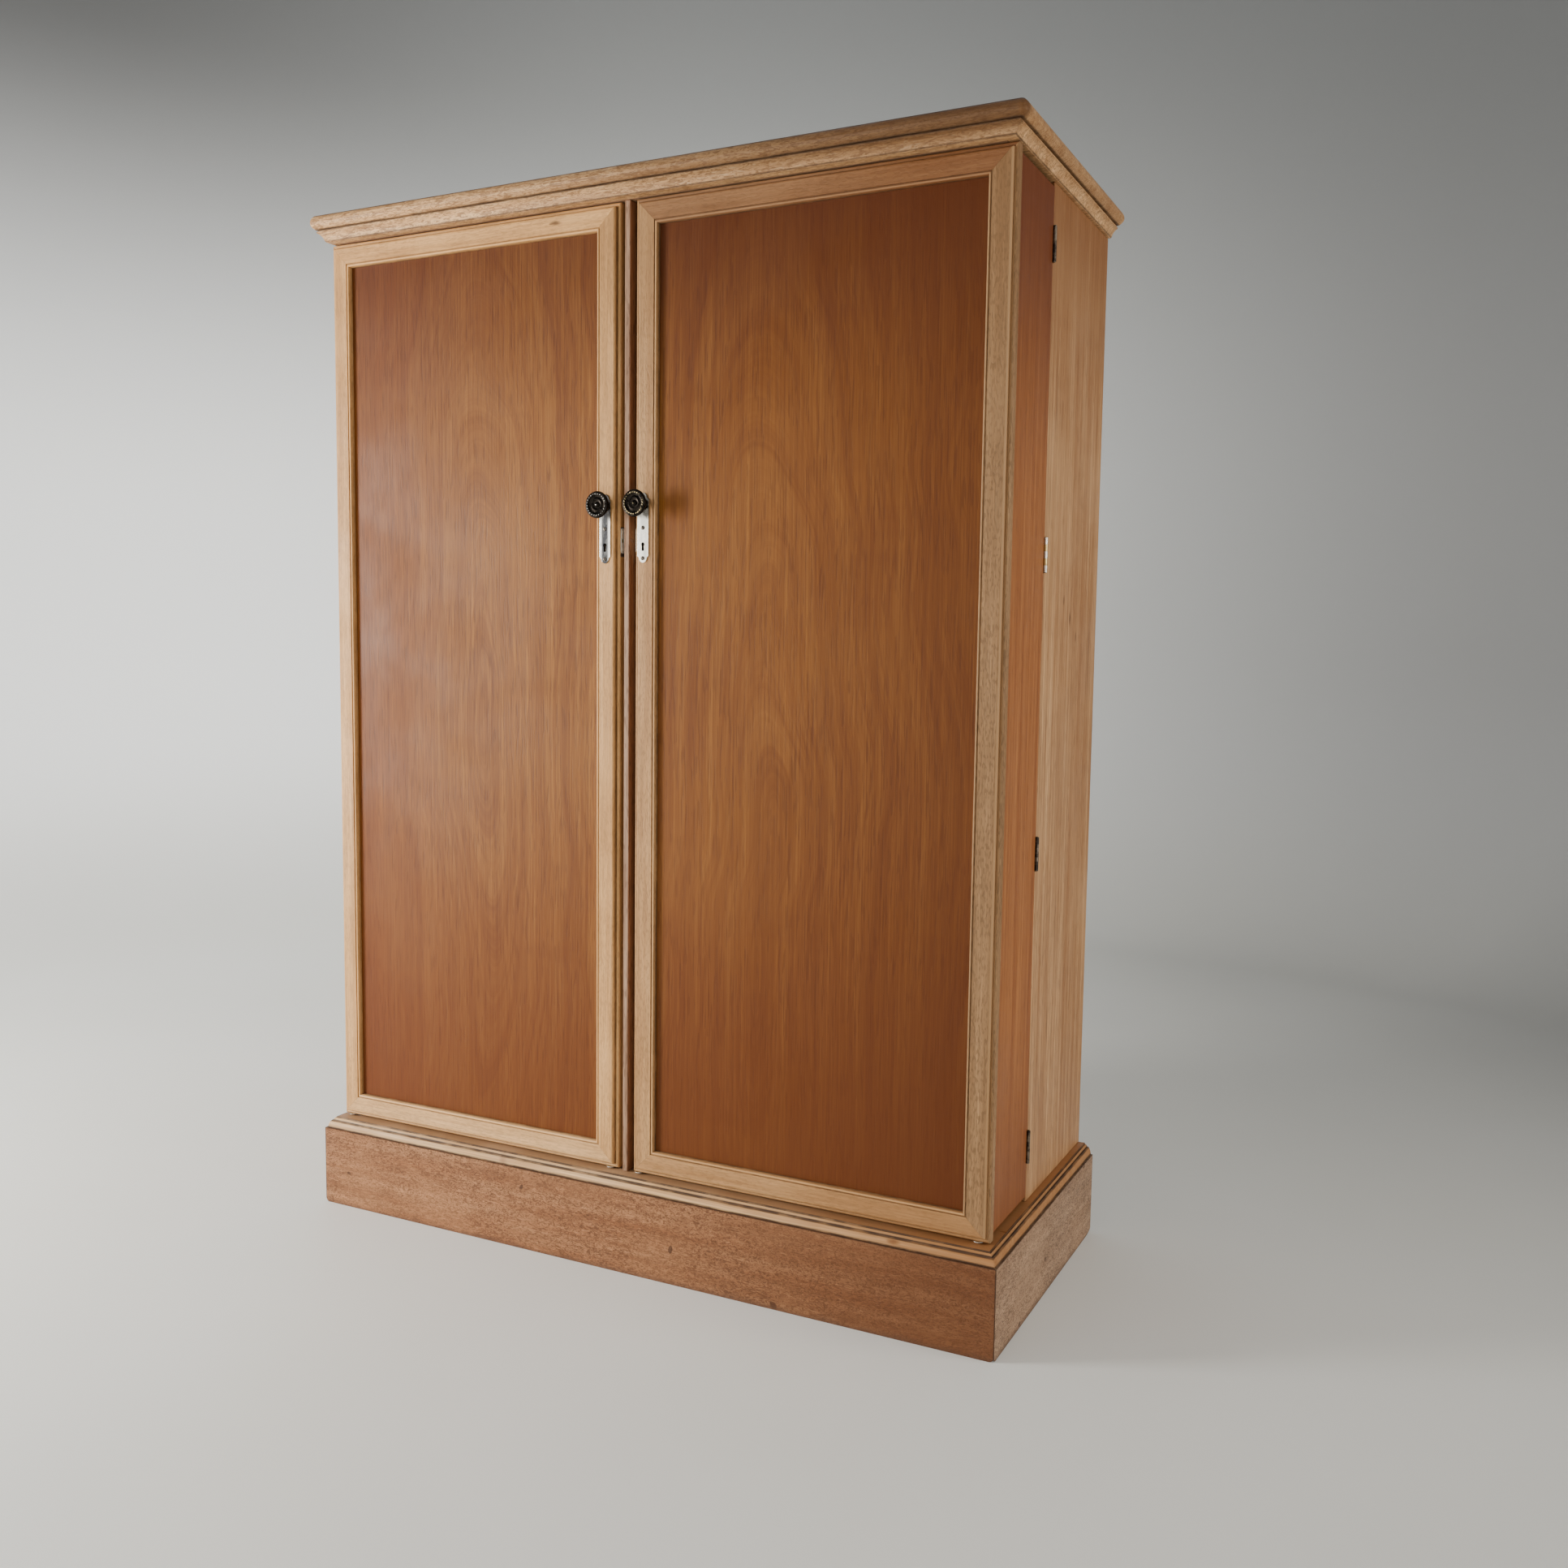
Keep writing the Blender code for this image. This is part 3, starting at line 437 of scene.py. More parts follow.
def cornice_wood(name, seed, start, amount):
    """Flecked tan wood, its front browner towards its right-hand end by painted shade, with dark lines in
    its joints.
    """
    wood = Wood(name, "x", seed)
    low, high = (0.540, 0.290, 0.122), (0.800, 0.490, 0.235)
    colour = wood.ramp(wood.grain(42, 2.0), (0.32, low), (0.68, high))
    for across, length, strength in ((170, 40, 0.62), (330, 80, 0.55)):
        fleck = wood.span(wood.grain(across, length, 2, 0.6, 1.7), 0.49, 0.60)
        wood.heights.append(wood.minus(1.0, fleck))
        colour = wood.blend(colour, (0.20, 0.095, 0.036), wood.times(fleck, strength))
    pale = wood.span(wood.grain(240, 30, 2, 0.6, 1.5), 0.56, 0.68, 0.0, 0.40)
    colour = wood.blend(colour, (0.85, 0.60, 0.36), pale)
    colour = wood.fibre(colour, 140, 4, (0.26, 0.120, 0.045), 0.26)
    # Painted shade on the front, growing towards the right-hand end.
    front = wood.span(wood.y, -0.2500, -0.2720)
    brown = wood.times(wood.span(wood.x, start, 0.55, 0.0, amount), front)
    colour = wood.blend(colour, (0.072, 0.027, 0.0062), brown)
    colour = wood.blend(colour, (0.200, 0.085, 0.026), wood.span(wood.x, *CORNICE_SIDE, 0.0, 0.40))
    knots = wood.span(wood.noise(wood.stretch((10, 30, 10), wood.offset), 1.0, 1.0), 0.70, 0.80)
    colour = wood.blend(colour, (0.15, 0.062, 0.026), wood.times(knots, 0.55))
    lines = [wood.line(wood.z, *joint) for joint in CORNICE_JOINTS]
    colour = wood.dirt_and_shade(colour, *lines, strength=0.72)
    return wood.varnish(colour, (0.42, 0.60), 0.4, 0.0004)


def inner_wood(name, along, seed, tones):
    """Plain, unpolished wood of the inside and the back."""
    wood = Wood(name, along, seed)
    low, high = tones
    colour = wood.ramp(wood.grain(22, 1.2, 3), (0.28, low), (0.72, high))
    darker = tuple(c * 0.5 for c in low)
    colour = wood.fibre(colour, 90, 2.2, darker, 0.20)
    colour = wood.fibre(colour, 260, 6, darker, 0.26)
    colour = wood.pores(colour, 480, 36, 0.58, darker, 0.5)
    colour = wood.patches(colour, 3, low, 0.4)
    return wood.varnish(colour, (0.58, 0.78), 0.4, 0.0004, 0.25)


def partition_wood():
    """Dark red-brown wood with a paler front face."""
    wood = Wood("partition_wood", "z", 71)
    colour = wood.ramp(wood.grain(90, 2), (0.3, (0.25, 0.110, 0.052)), (0.7, (0.40, 0.200, 0.105)))
    colour = wood.fibre(colour, 420, 9, (0.12, 0.050, 0.022), 0.34)
    front = wood.span(wood.y, -0.2415, -0.2423)
    pale = wood.ramp(wood.grain(240, 7), (0.36, (0.25, 0.135, 0.075)), (0.64, (0.42, 0.255, 0.160)))
    colour = wood.blend(colour, pale, front)
    colour = wood.pores(colour, 420, 50, 0.57, (0.10, 0.050, 0.026), 0.5)
    return wood.varnish(colour, (0.48, 0.62), 0.35, 0.0004)


# ---- Metals ----


def metal(name, bright, tarnish, rough, cover=(0.45, 0.62), scale=70, metallic=1.0):
    """Worn plate: a bright metal under uneven tarnish, with fine scratches."""
    look = Shading(name)
    cloud = look.noise(look.stretch((scale,) * 3), 1.0, 5.0, 0.65)
    mask = look.span(cloud, *cover)
    colour = look.blend(bright, tarnish, mask)
    scratches = look.noise(look.stretch((2200, 2200, 160)), 1.0, 2.0, 0.6)
    roughness = look.span(cloud, 0.35, 0.70, *rough)
    height = look.plus(look.times(scratches, 0.35), look.times(cloud, 0.6))
    normal = look.bump(height, 0.22, 0.0002)
    return look.finish(base_color=colour, metallic=metallic, roughness=roughness, normal=normal)


def nickel(name, centre, bright, plate_dark, amount, knob_shadow_strength):
    """Nickel plate, darker down its middle, with a painted shadow of the knob across its upper part."""
    look = Shading(name)
    cloud = look.noise(look.stretch((90, 90, 34)), 1.0, 5.0, 0.62)
    uneven = look.span(cloud, 0.36, 0.56, 0.80, 1.0)
    aside = look.math("ABSOLUTE", look.minus(look.x, centre))
    middle = look.span(aside, 0.0042, 0.0086, amount, 0.0)
    # Painted shadow of the knob across the plate's upper part.
    upper = look.times(look.span(look.z, *KNOB_SHADE), knob_shadow_strength)
    mask = look.times(look.math("MAXIMUM", middle, upper), uneven)
    colour = look.blend(bright, plate_dark, mask)
    colour = look.blend(colour, (0.10, 0.085, 0.07), look.span(cloud, 0.60, 0.72, 0.0, 0.55))
    scratches = look.noise(look.stretch((2600, 2600, 120)), 1.0, 2.0, 0.6)
    normal = look.bump(look.plus(look.times(scratches, 0.3), cloud), 0.10, 0.0002)
    roughness = look.span(cloud, 0.35, 0.70, 0.20, 0.36)
    return look.finish(base_color=colour, metallic=1.0, roughness=roughness, normal=normal)


def bronze(name, brass, worn, tip, depth, cover):
    """Dark patina over brass, rubbed through on what stands proud at the front."""
    look = Shading(name)
    cloud = look.noise(look.stretch((160, 160, 160)), 1.0, 4.0, 0.6)
    colour = look.ramp(cloud, (0.3, (0.0050, 0.0042, 0.0038)), (0.7, (0.030, 0.024, 0.019)))
    rubbed = look.times(look.span(look.y, tip + depth, tip), look.span(cloud, *cover))
    colour = look.blend(colour, brass, look.times(rubbed, worn))
    roughness = look.span(cloud, 0.3, 0.7, 0.24, 0.42)
    normal = look.bump(cloud, 0.25, 0.0003)
    return look.finish(base_color=colour, metallic=1.0, roughness=roughness, normal=normal)


NICKEL = ((0.80, 0.76, 0.68), (0.33, 0.29, 0.24))
BRASS = ((0.62, 0.45, 0.20), (0.20, 0.13, 0.07))
STEEL = ((0.45, 0.44, 0.42), (0.16, 0.14, 0.125))
BRONZE = ((0.20, 0.16, 0.12), (0.045, 0.036, 0.030))
DARK_STEEL = ((0.20, 0.18, 0.155), (0.045, 0.036, 0.030))
# Near-black for the sheet of painted shade behind each keyhole.
KEYHOLE_DARK = ((0.020, 0.017, 0.015), (0.008, 0.007, 0.006))
# The darkening is a painted shadow of the knob.
KNOB_SHADE = (1.2580, 1.2700)  # heights over which a lock plate darkens below its knob


def finish_doors():
    """The two doors' veneers and frames, each member with its own tones, grime and painted shade in its
    grooves, and on some members painted shade towards the top, on others towards the right.
    """
    both = {"wave": 0.10, "contrast": 0.62}
    left = {"sway": 0.20, "foot": 0.98, "lean": 0.16, "rings": 78, "edge": 0.70, **both}
    right = {"sway": 0.16, "foot": 0.55, "lean": 0.14, "rings": 74, "edge": 0.25, **both}
    left_shade, right_shade = (-0.30, 0.10, 0.0, 0.10), (0.04, 0.64, 0.16, 0.60)
    paint(veneer("left_veneer", 11, -0.29, left, 0.72, 0.66, left_shade), "left_door_panel")
    paint(veneer("right_veneer", 17, 0.24, right, 0.92, 0.76, right_shade), "right_door_panel")
    edges = [f"{s}_door_{k}_board" for s in ("left", "right") for k in ("hinge", "lock")]
    paint(side_veneer(), *edges)
    grey = ((0.285, 0.150, 0.064), (0.430, 0.246, 0.114))
    warm = ((0.440, 0.222, 0.085), (0.640, 0.365, 0.158))
    pale = ((0.640, 0.355, 0.145), (0.880, 0.540, 0.255))
    red = ((0.235, 0.105, 0.040), (0.350, 0.180, 0.082))
    brown = (0.20, 0.100, 0.040)
    # Strengths of the grime and painted shade in the quirk, the inner groove and the panel joint; a quirk
    # given none is painted lighter.
    worn, clean, bare = (0.60, 0.55, 0.80), (0.18, 0.30, 0.40), (0.0, 0.30, 0.55)
    top_knot = [
        ((-0.1475, DOOR_FACE, 1.7478), 0.0045, 0.75),
        ((-0.1560, DOOR_FACE, 1.7470), 0.0020, 0.5),
    ]
    dark_red, russet = (0.16, 0.052, 0.014), (0.28, 0.12, 0.040)
    left_lock, right_lock = LOCK_EDGE["left"], LOCK_EDGE["right"]
    members = {
        "left_door_hinge_stile": ("z", TAN, -HINGE_EDGE, 1, 0.30, clean),
        "left_door_lock_stile": ("z", TAN, left_lock, -1, 0.30, worn, ("z", 1.3, 1.77, brown, 0.35)),
        "left_door_top_rail": ("x", TAN, DOOR_TOP, -1, 0.30, worn, None, top_knot),
        "left_door_bottom_rail": ("x", pale, DOOR_BOTTOM, 1, 0.30, worn),
        "right_door_hinge_stile": ("z", grey, HINGE_EDGE, -1, 0.62, bare, ("z", 1.25, 1.77, brown, 0.50)),
        "right_door_lock_stile": ("z", warm, right_lock, 1, 0.42, worn, ("z", 1.2, 1.77, brown, 0.45)),
        "right_door_top_rail": ("x", red, DOOR_TOP, -1, 0.30, worn, ("x", 0.1, 0.62, dark_red, 0.55)),
        "right_door_bottom_rail": ("x", warm, DOOR_BOTTOM, 1, 0.34, worn, ("x", 0.0, 0.66, russet, 0.45)),
    }
    for number, (node, look) in enumerate(members.items()):
        along, *rest = look
        paint(frame_board(node + "_wood", along, 100 + number, *rest), node)


def finish_case():
    """The sides, the plinth, its moulding and the cornice."""
    streaks = [
        ((SIDE_FACE, 0.111, 1.112), 0.005, 0.8),
        ((SIDE_FACE, 0.073, 1.140), 0.004, 0.7),
        ((SIDE_FACE, 0.150, 1.082), 0.004, 0.7),
    ]
    paint(side_board("right_side_wood", 35, streaks), "carcase_right_side")
    paint(side_board("left_side_wood", 36), "carcase_left_side")
    front = ((0.300, 0.122, 0.052), (0.460, 0.224, 0.108))
    flank = ((0.350, 0.205, 0.120), (0.500, 0.320, 0.200))
    paint(plinth_wood("plinth_front_wood", "x", 41, front, 0.72), "plinth_front")
    nails = [
        ((PLINTH_HALF, 0.2206, 0.1400), 0.0030, 0.8),
        ((PLINTH_HALF, 0.1568, 0.1210), 0.0022, 0.7),
    ]
    paint(plinth_wood("plinth_side_wood", "y", 42, flank, 0.0, nails), "plinth_left", "plinth_right")
    paint(base_strip(), "base_moulding")
    paint(cornice_wood("cornice_slab_wood", 61, -0.60, 0.89), "cornice_slab")
    paint(cornice_wood("cornice_moulding_wood", 62, -0.45, 0.83), "cornice_moulding")


def finish_inside():
    """The inner boards, the back and the centre partition."""
    plain = ((0.30, 0.155, 0.078), (0.45, 0.265, 0.150))
    boards = ["left_shelf_lower", "left_shelf_upper", "base_board", "carcase_top"]
    paint(inner_wood("shelf_wood", "x", 81, plain), *boards)
    back = ((0.27, 0.135, 0.066), (0.41, 0.235, 0.128))
    paint(inner_wood("back_wood", "z", 82, back), "carcase_back")
    paint(inner_wood("plinth_back_wood", "x", 83, back), "plinth_back")
    rails = [f"{s}_door_{k}_board" for s in ("left", "right") for k in ("top", "bottom")]
    paint(inner_wood("door_inner_wood", "x", 84, plain), *rails)
    paint(partition_wood(), "centre_partition")


def finish_metals():
    """The rod, the locks and the hinges. The second hinge on each side is nickel and brass."""
    paint(metal("worn_steel", *STEEL, (0.30, 0.55)), "hanging_rod")
    paint(metal("lock_steel", *STEEL, (0.35, 0.6)), "left_lock_case", "right_lock_case")
    bolts = [f"{s}_{k}" for s in ("left", "right") for k in ("latch_bolt", "deadbolt")]
    paint(metal("bolt_brass", *BRASS, (0.25, 0.5)), *bolts)
    dark = metal("dark_hinge", *BRONZE, (0.30, 0.5), (0.42, 0.58))
    bright = metal("bright_hinge", *NICKEL, (0.25, 0.45), (0.50, 0.70))
    brassy = metal("brass_hinge", *BRASS, (0.28, 0.5), (0.48, 0.68))
    for side in ("left", "right"):
        for number in range(1, 5):
            fixed, moving = (bright, brassy) if number == 2 else (dark, dark)
            paint(fixed, f"{side}_hinge_{number}_fixed_leaf")
            paint(moving, f"{side}_hinge_{number}_moving_leaf")


def build_finishes():
    """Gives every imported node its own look."""
    finish_doors()
    finish_case()
    finish_inside()
    finish_metals()


# ---- Fittings ----

PLATE_FRONT = -0.2513
PLATE_X = {"left": -0.0478, "right": 0.0259}
PLATE_Z = 1.2478
PLATE_HALF = (0.0105, 0.0470)
PLATE_TAB = (0.0076, 0.0092)
PLATE_NOTCH = 0.0014
KEYHOLE_Z = 1.2175
KNOB_Z = 1.2850
KNOB_RADIUS = 0.0219
KNOB_REACH = {"left": 0.0, "right": 0.0035}
KNOB_TIP = PLATE_FRONT - 0.0264
SIGN = {"left": -1, "right": 1}
HINGE_HEIGHTS = (1.6775, 1.2060, 0.7350, 0.2560)
HINGE_LINE = 0.6370  # distance of the pins from the middle
HINGE_HALF = 0.0270
HINGE_SCREWS = ((-0.0190, 0.0092), (0.0, 0.0118), (0.0190, 0.0092))  # height and inset of each
PLATE_SCREWS = ((0.5, 0.0490), (1.2, 0.0), (2.1, -0.0490))  # turn and height of each
FOREND_Z = 1.2290
FOREND_SETBACK = 0.0145  # of its middle line from the door's face
FOREND_SCREW = 0.0145  # height of its screws from its middle
DOME = ((1.0, 0.3), (0.97, 0.6), (0.80, 0.9), (0.5, 1.0))  # shares of a screw's radius and height
JOINT_PLANE = -0.0470
FORWARD = Vector((0, -1, 0))


def arc(centre, radii, start, end, steps):
    """Points along an elliptical arc, its angles in degrees."""
    angles = [math.radians(start + (end - start) * i / steps) for i in range(steps + 1)]
    return [(centre[0] + radii[0] * math.cos(a), centre[1] + radii[1] * math.sin(a)) for a in angles]


class Shape:
    """Closed skins gathered into one piece."""

    def __init__(self):
        self.points = []
        self.faces = []

    def loft(self, rings, capped=True, looped=False):
        first, count = len(self.points), len(rings[0])
        self.points += [point for ring in rings for point in ring]
        rows = len(rings) if looped else len(rings) - 1
        for row in range(rows):
            low, high = first + row * count, first + (row + 1) % len(rings) * count
            for i in range(count):
                j = (i + 1) % count
                self.faces.append((low + i, low + j, high + j, high + i))
        if capped and not looped:
            self.faces.append(tuple(range(first, first + count)))
            self.faces.append(tuple(range(len(self.points) - count, len(self.points))))

    def turned(self, place, out, profile, count=48):
        """A turned form about the line through place along out, from (radius, reach) pairs."""
        place, across, up = self.axes(place, out)
        turns = [2 * math.pi * i / count for i in range(count)]
        rim = [across * math.cos(t) + up * math.sin(t) for t in turns]
        self.loft([[place + out * reach + ray * radius for ray in rim] for radius, reach in profile])

    def rope(self, place, out, radius, reach, thickness, beads, count=320, sides=10):
        """A ring of twisted beads."""
        place, across, up = self.axes(place, out)
        rings = []
        for i in range(count):
            turn = 2 * math.pi * i / count
            ray = across * math.cos(turn) + up * math.sin(turn)
            ring = []
            for k in range(sides):
                phase = 2 * math.pi * k / sides
                size = thickness * (1 + 0.38 * math.cos(beads * turn + phase))
                outward = ray * (radius + size * math.cos(phase))
                ring.append(place + outward + out * (reach + size * math.sin(phase)))
            rings.append(ring)
        self.loft(rings, looped=True)

    def screw(self, place, out, radius, proud, turn):
        """A slotted screw head: a low disc with two domed halves on it."""
        self.turned(place, out, [(radius, -0.0004), (radius, proud * 0.35)], 24)
        place, across, up = self.axes(place, out)
        for half in (0, math.pi):
            rings = []
            for shrink, rise in DOME:
                ring = []
                for i in range(13):
                    angle = math.radians(14 + 152 * i / 12)
                    a = radius * shrink * math.cos(angle)
                    b = max(radius * shrink * math.sin(angle), radius * 0.16)
                    spun = turn + half
                    ring.append(
                        place + out * (proud * rise)
                        + across * (a * math.cos(spun) - b * math.sin(spun))
                        + up * (a * math.sin(spun) + b * math.cos(spun))
                    )
                rings.append(ring)
            self.loft(rings)

    @staticmethod
    def axes(place, out):
        up = Vector((0, 0, 1)) if abs(out.z) < 0.5 else Vector((0, 1, 0))
        across = out.cross(up).normalized()
        return Vector(place), across, across.cross(out).normalized()

    def mesh(self, name):
        mesh = bpy.data.meshes.new(name)
        mesh.from_pydata(self.points, [], self.faces)
        skin = bmesh.new()
        skin.from_mesh(mesh)
        bmesh.ops.recalc_face_normals(skin, faces=skin.faces)
        skin.to_mesh(mesh)
        skin.free()
        return mesh


def piece(name, mesh, material, body, angle=35, stands_for=()):
    mesh.shade_smooth()
    mesh.set_sharp_from_angle(angle=math.radians(angle))
    mesh.materials.append(material)
    obj = bpy.data.objects.new(name, mesh)
    bpy.context.scene.collection.objects.link(obj)
    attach(obj, body)
    if stands_for:
        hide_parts(*stands_for)
    return obj


def plate_mesh(name, outlines, place, across, up, thickness, bevel):
    """A flat plate with rounded arrises, from its outline and the outlines of its holes."""
    data = bpy.data.curves.new(name + "_outline", "CURVE")
    data.dimensions = "2D"
    data.fill_mode = "BOTH"
    data.extrude = thickness / 2 - bevel
    data.bevel_depth = bevel
    data.bevel_resolution = 2
    data.offset = -bevel
    for outline in outlines:
        spline = data.splines.new("POLY")
        spline.points.add(len(outline) - 1)
        for point, (a, b) in zip(spline.points, outline):
            point.co = (a, b, 0, 1)
        spline.use_cyclic_u = True
    guide = bpy.data.objects.new(name + "_outline", data)
    bpy.context.scene.collection.objects.link(guide)
    bpy.context.view_layer.update()
    graph = bpy.context.evaluated_depsgraph_get()
    mesh = bpy.data.meshes.new_from_object(guide.evaluated_get(graph))
    bpy.data.objects.remove(guide)
    across, up = Vector(across), Vector(up)
    turn = Matrix((across, up, across.cross(up))).transposed().to_4x4()
    mesh.transform(Matrix.Translation(place) @ turn)
    mesh.materials.clear()
    return mesh


def knob_profile(reach):
    """(radius, reach) pairs of the turned knob, from its spindle's inner end to the boss's middle."""
    stem = [(0.0035, -0.0215), (0.0035, 0.0003), (0.0088, 0.0003), (0.0090, 0.0010), (0.0084, 0.0019)]
    neck = [(0.0068, 0.0026), (0.0058, 0.0046), (0.0055, 0.0090 + reach)]
    flare = [(0.0060, 0.0118), (0.0080, 0.0138), (0.0120, 0.0152), (0.0165, 0.0166), (0.0200, 0.0186)]
    rim = arc((KNOB_RADIUS - 0.0030, 0.0226), (0.0030, 0.0030), -35, 100, 10)
    dish = [(0.0168, 0.0252), (0.0158, 0.0236), (0.0140, 0.0226), (0.0112, 0.0224), (0.0102, 0.0234)]
    boss = [(0.0078, 0.0234), (0.0066, 0.0226), (0.0050, 0.0226), (0.0042, 0.0240), (0.0024, 0.0254)]
    return stem + neck + [(r, out + reach) for r, out in flare + rim + dish + boss + [(0.0008, 0.0258)]]


def build_knobs(finishes):
    for side, x in PLATE_X.items():
        place, reach = (x, PLATE_FRONT, KNOB_Z), KNOB_REACH[side]
        knob = Shape()
        knob.turned(place, FORWARD, knob_profile(reach), 72)
        knob.rope(place, FORWARD, 0.0172, 0.0252 + reach, 0.00110, 24)
        knob.rope(place, FORWARD, 0.0090, 0.0238 + reach, 0.00075, 26, 224, 8)
        tip = [(0.0015, 0.0250), (0.0015, 0.0264), (0.0010, 0.0269), (0.0004, 0.0270)]
        knob.turned(place, FORWARD, [(radius, out + reach) for radius, out in tip], 20)
        name = f"{side}_turned_knob"
        mesh = knob.mesh(name)
        piece(name, mesh, finishes[side], f"{side}_knob_turn_set", 50, [f"{side}_knob"])


def plate_outline():
    """Straight sides with cut shoulders, and a round tab at each end."""
    half_x, half_z = PLATE_HALF
    lower = arc((0, -half_z), PLATE_TAB, 180, 360, 18)
    upper = arc((0, half_z), PLATE_TAB, 0, 180, 18)
    notch = arc((half_x, half_z), (PLATE_NOTCH, PLATE_NOTCH), 180, 270, 4)
    right = [(a, -b) for a, b in notch] + list(reversed(notch))
    return lower + right + upper + [(-a, -b) for a, b in right]


def keyhole_outline():
    head = arc((0, 0.0038), (0.0031, 0.0031), -50, 230, 16)
    return head + [(-0.0022, -0.0066), (0.0022, -0.0066)]


def build_plates(finishes, screw_finish, shade_sheet_finish):
    hole = [(a, b + KEYHOLE_Z - PLATE_Z) for a, b in keyhole_outline()]
    for number, (side, x) in enumerate(PLATE_X.items()):
        name = f"{side}_lock_plate"
        place = (x, PLATE_FRONT + 0.00075, PLATE_Z)
        mesh = plate_mesh(name, [plate_outline(), hole], place, (1, 0, 0), (0, 0, 1), 0.0015, 0.00028)
        piece(name, mesh, finishes[side], f"{side}_door", 30, [f"{side}_backplate"])
        # Painted shade: a thin dark sheet behind each keyhole stands in for the shade inside the lock.
        name = f"{side}_keyhole_shade_sheet"
        rim = [(0.0040 * a, 0.0080 * b - 0.0002) for a, b in arc((0, 0), (1, 1), 0, 345, 23)]
        slot = [(-0.0006, -0.0050), (0.0006, -0.0050), (0.0006, 0.0048), (-0.0006, 0.0048)]
        place = (x, DOOR_FACE - 0.00015, KEYHOLE_Z)
        mesh = plate_mesh(name, [rim, slot], place, (1, 0, 0), (0, 0, 1), 0.0002, 0.00002)
        piece(name, mesh, shade_sheet_finish, f"{side}_door", 30)
        screws = Shape()
        for turn, height in PLATE_SCREWS:
            place = (x, PLATE_FRONT, PLATE_Z + height)
            screws.screw(place, FORWARD, 0.0034, 0.0009, turn + number)
        name = f"{side}_plate_screws"
        piece(name, screws.mesh(name), screw_finish, f"{side}_door")


def build_forends(finish, screw_finish):
    """The nickel strip of each lock in the door's edge, with the deadbolt's hole."""
    half = 0.0029
    for side, sign in SIGN.items():
        outline = arc((0, 0.0175), (0.0055, 0.0030), 0, 180, 8)
        outline += arc((0, -0.0175), (0.0055, 0.0030), 180, 360, 8)
        hole = [(-half, -half), (half, -half), (half, half), (-half, half)]
        place = (LOCK_EDGE[side] - sign * 0.0004, DOOR_FACE + FOREND_SETBACK, FOREND_Z)
        name = f"{side}_lock_forend"
        mesh = plate_mesh(name, [outline, hole], place, (0, sign, 0), (0, 0, 1), 0.0008, 0.0002)
        piece(name, mesh, finish, f"{side}_door", 30)
        screws = Shape()
        for height in (FOREND_Z - FOREND_SCREW, FOREND_Z + FOREND_SCREW):
            place = (LOCK_EDGE[side] - sign * 0.0008, DOOR_FACE + FOREND_SETBACK, height)
            screws.screw(place, Vector((-sign, 0, 0)), 0.0021, 0.0004, 0.7)
        name = f"{side}_forend_screws"
        piece(name, screws.mesh(name), screw_finish, f"{side}_door")


def build_hinge_screws(finish):
    for side, sign in SIGN.items():
        for body, towards in (("carcase", -1), (f"{side}_door", 1)):
            shape = Shape()
            out = Vector((0, towards, 0))
            for number, height in enumerate(HINGE_HEIGHTS):
                for offset, inset in HINGE_SCREWS:
                    sunk = JOINT_PLANE - towards * 0.00015
                    place = (sign * (HINGE_LINE - inset), sunk, height + offset)
                    shape.screw(place, out, 0.0022, 0.0001, number * 0.9 + offset * 60)
            name = f"{side}_{'post' if towards < 0 else 'door'}_hinge_screws"
            piece(name, shape.mesh(name), finish, body)


def build_hinge_tips(finish):
    """The ends of the hinge pins."""
    dome = [(0.0024, 0.0), (0.0023, 0.0004), (0.0016, 0.0008), (0.0005, 0.0010)]
    for side, sign in SIGN.items():
        shape = Shape()
        for height in HINGE_HEIGHTS:
            for way in (-1, 1):
                place = (sign * HINGE_LINE, JOINT_PLANE, height + way * HINGE_HALF)
                shape.turned(place, Vector((0, 0, way)), dome, 20)
        name = f"{side}_hinge_pin_ends"
        piece(name, shape.mesh(name), finish, "carcase")


def build_glides(finish):
    """Domed glides under the front corners of the doors, which ride on the base's ledge."""
    dome = [(0.0085, 0.0), (0.0086, 0.0006), (0.0074, 0.0020), (0.0045, 0.0031), (0.0010, 0.0035)]
    for side, ends in {"left": (-0.6255, -0.0420), "right": (0.0150, 0.6200)}.items():
        shape = Shape()
        for x in ends:
            shape.turned((x, DOOR_FACE + 0.0125, 0.1669), Vector((0, 0, -1)), dome, 28)
        name = f"{side}_door_glides"
        piece(name, shape.mesh(name), finish, f"{side}_door")


def build_rod_sockets(finish, screw_finish):
    """The flanged cups that hold the hanging rod."""
    low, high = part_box("hanging_rod")
    y, z = (low.y + high.y) / 2, (low.z + high.z) / 2
    cup = [(0.0225, 0.0), (0.0225, 0.0012), (0.0212, 0.0022), (0.0170, 0.0026), (0.0158, 0.0040)]
    cup += [(0.0158, 0.0110), (0.0152, 0.0116), (0.0128, 0.0116)]
    for end, x, way in (("inner", low.x, 1), ("outer", high.x, -1)):
        shape, screws = Shape(), Shape()
        out = Vector((way, 0, 0))
        shape.turned((x, y, z), out, cup, 48)
        name = f"rod_{end}_socket"
        piece(name, shape.mesh(name), finish, "carcase")
        for turn in (0.5, 2.6, 4.7):
            place = (x + way * 0.0021, y + 0.0196 * math.cos(turn), z + 0.0196 * math.sin(turn))
            screws.screw(place, out, 0.0020, 0.0006, turn)
        name = f"rod_{end}_socket_screws"
        piece(name, screws.mesh(name), screw_finish, "carcase")


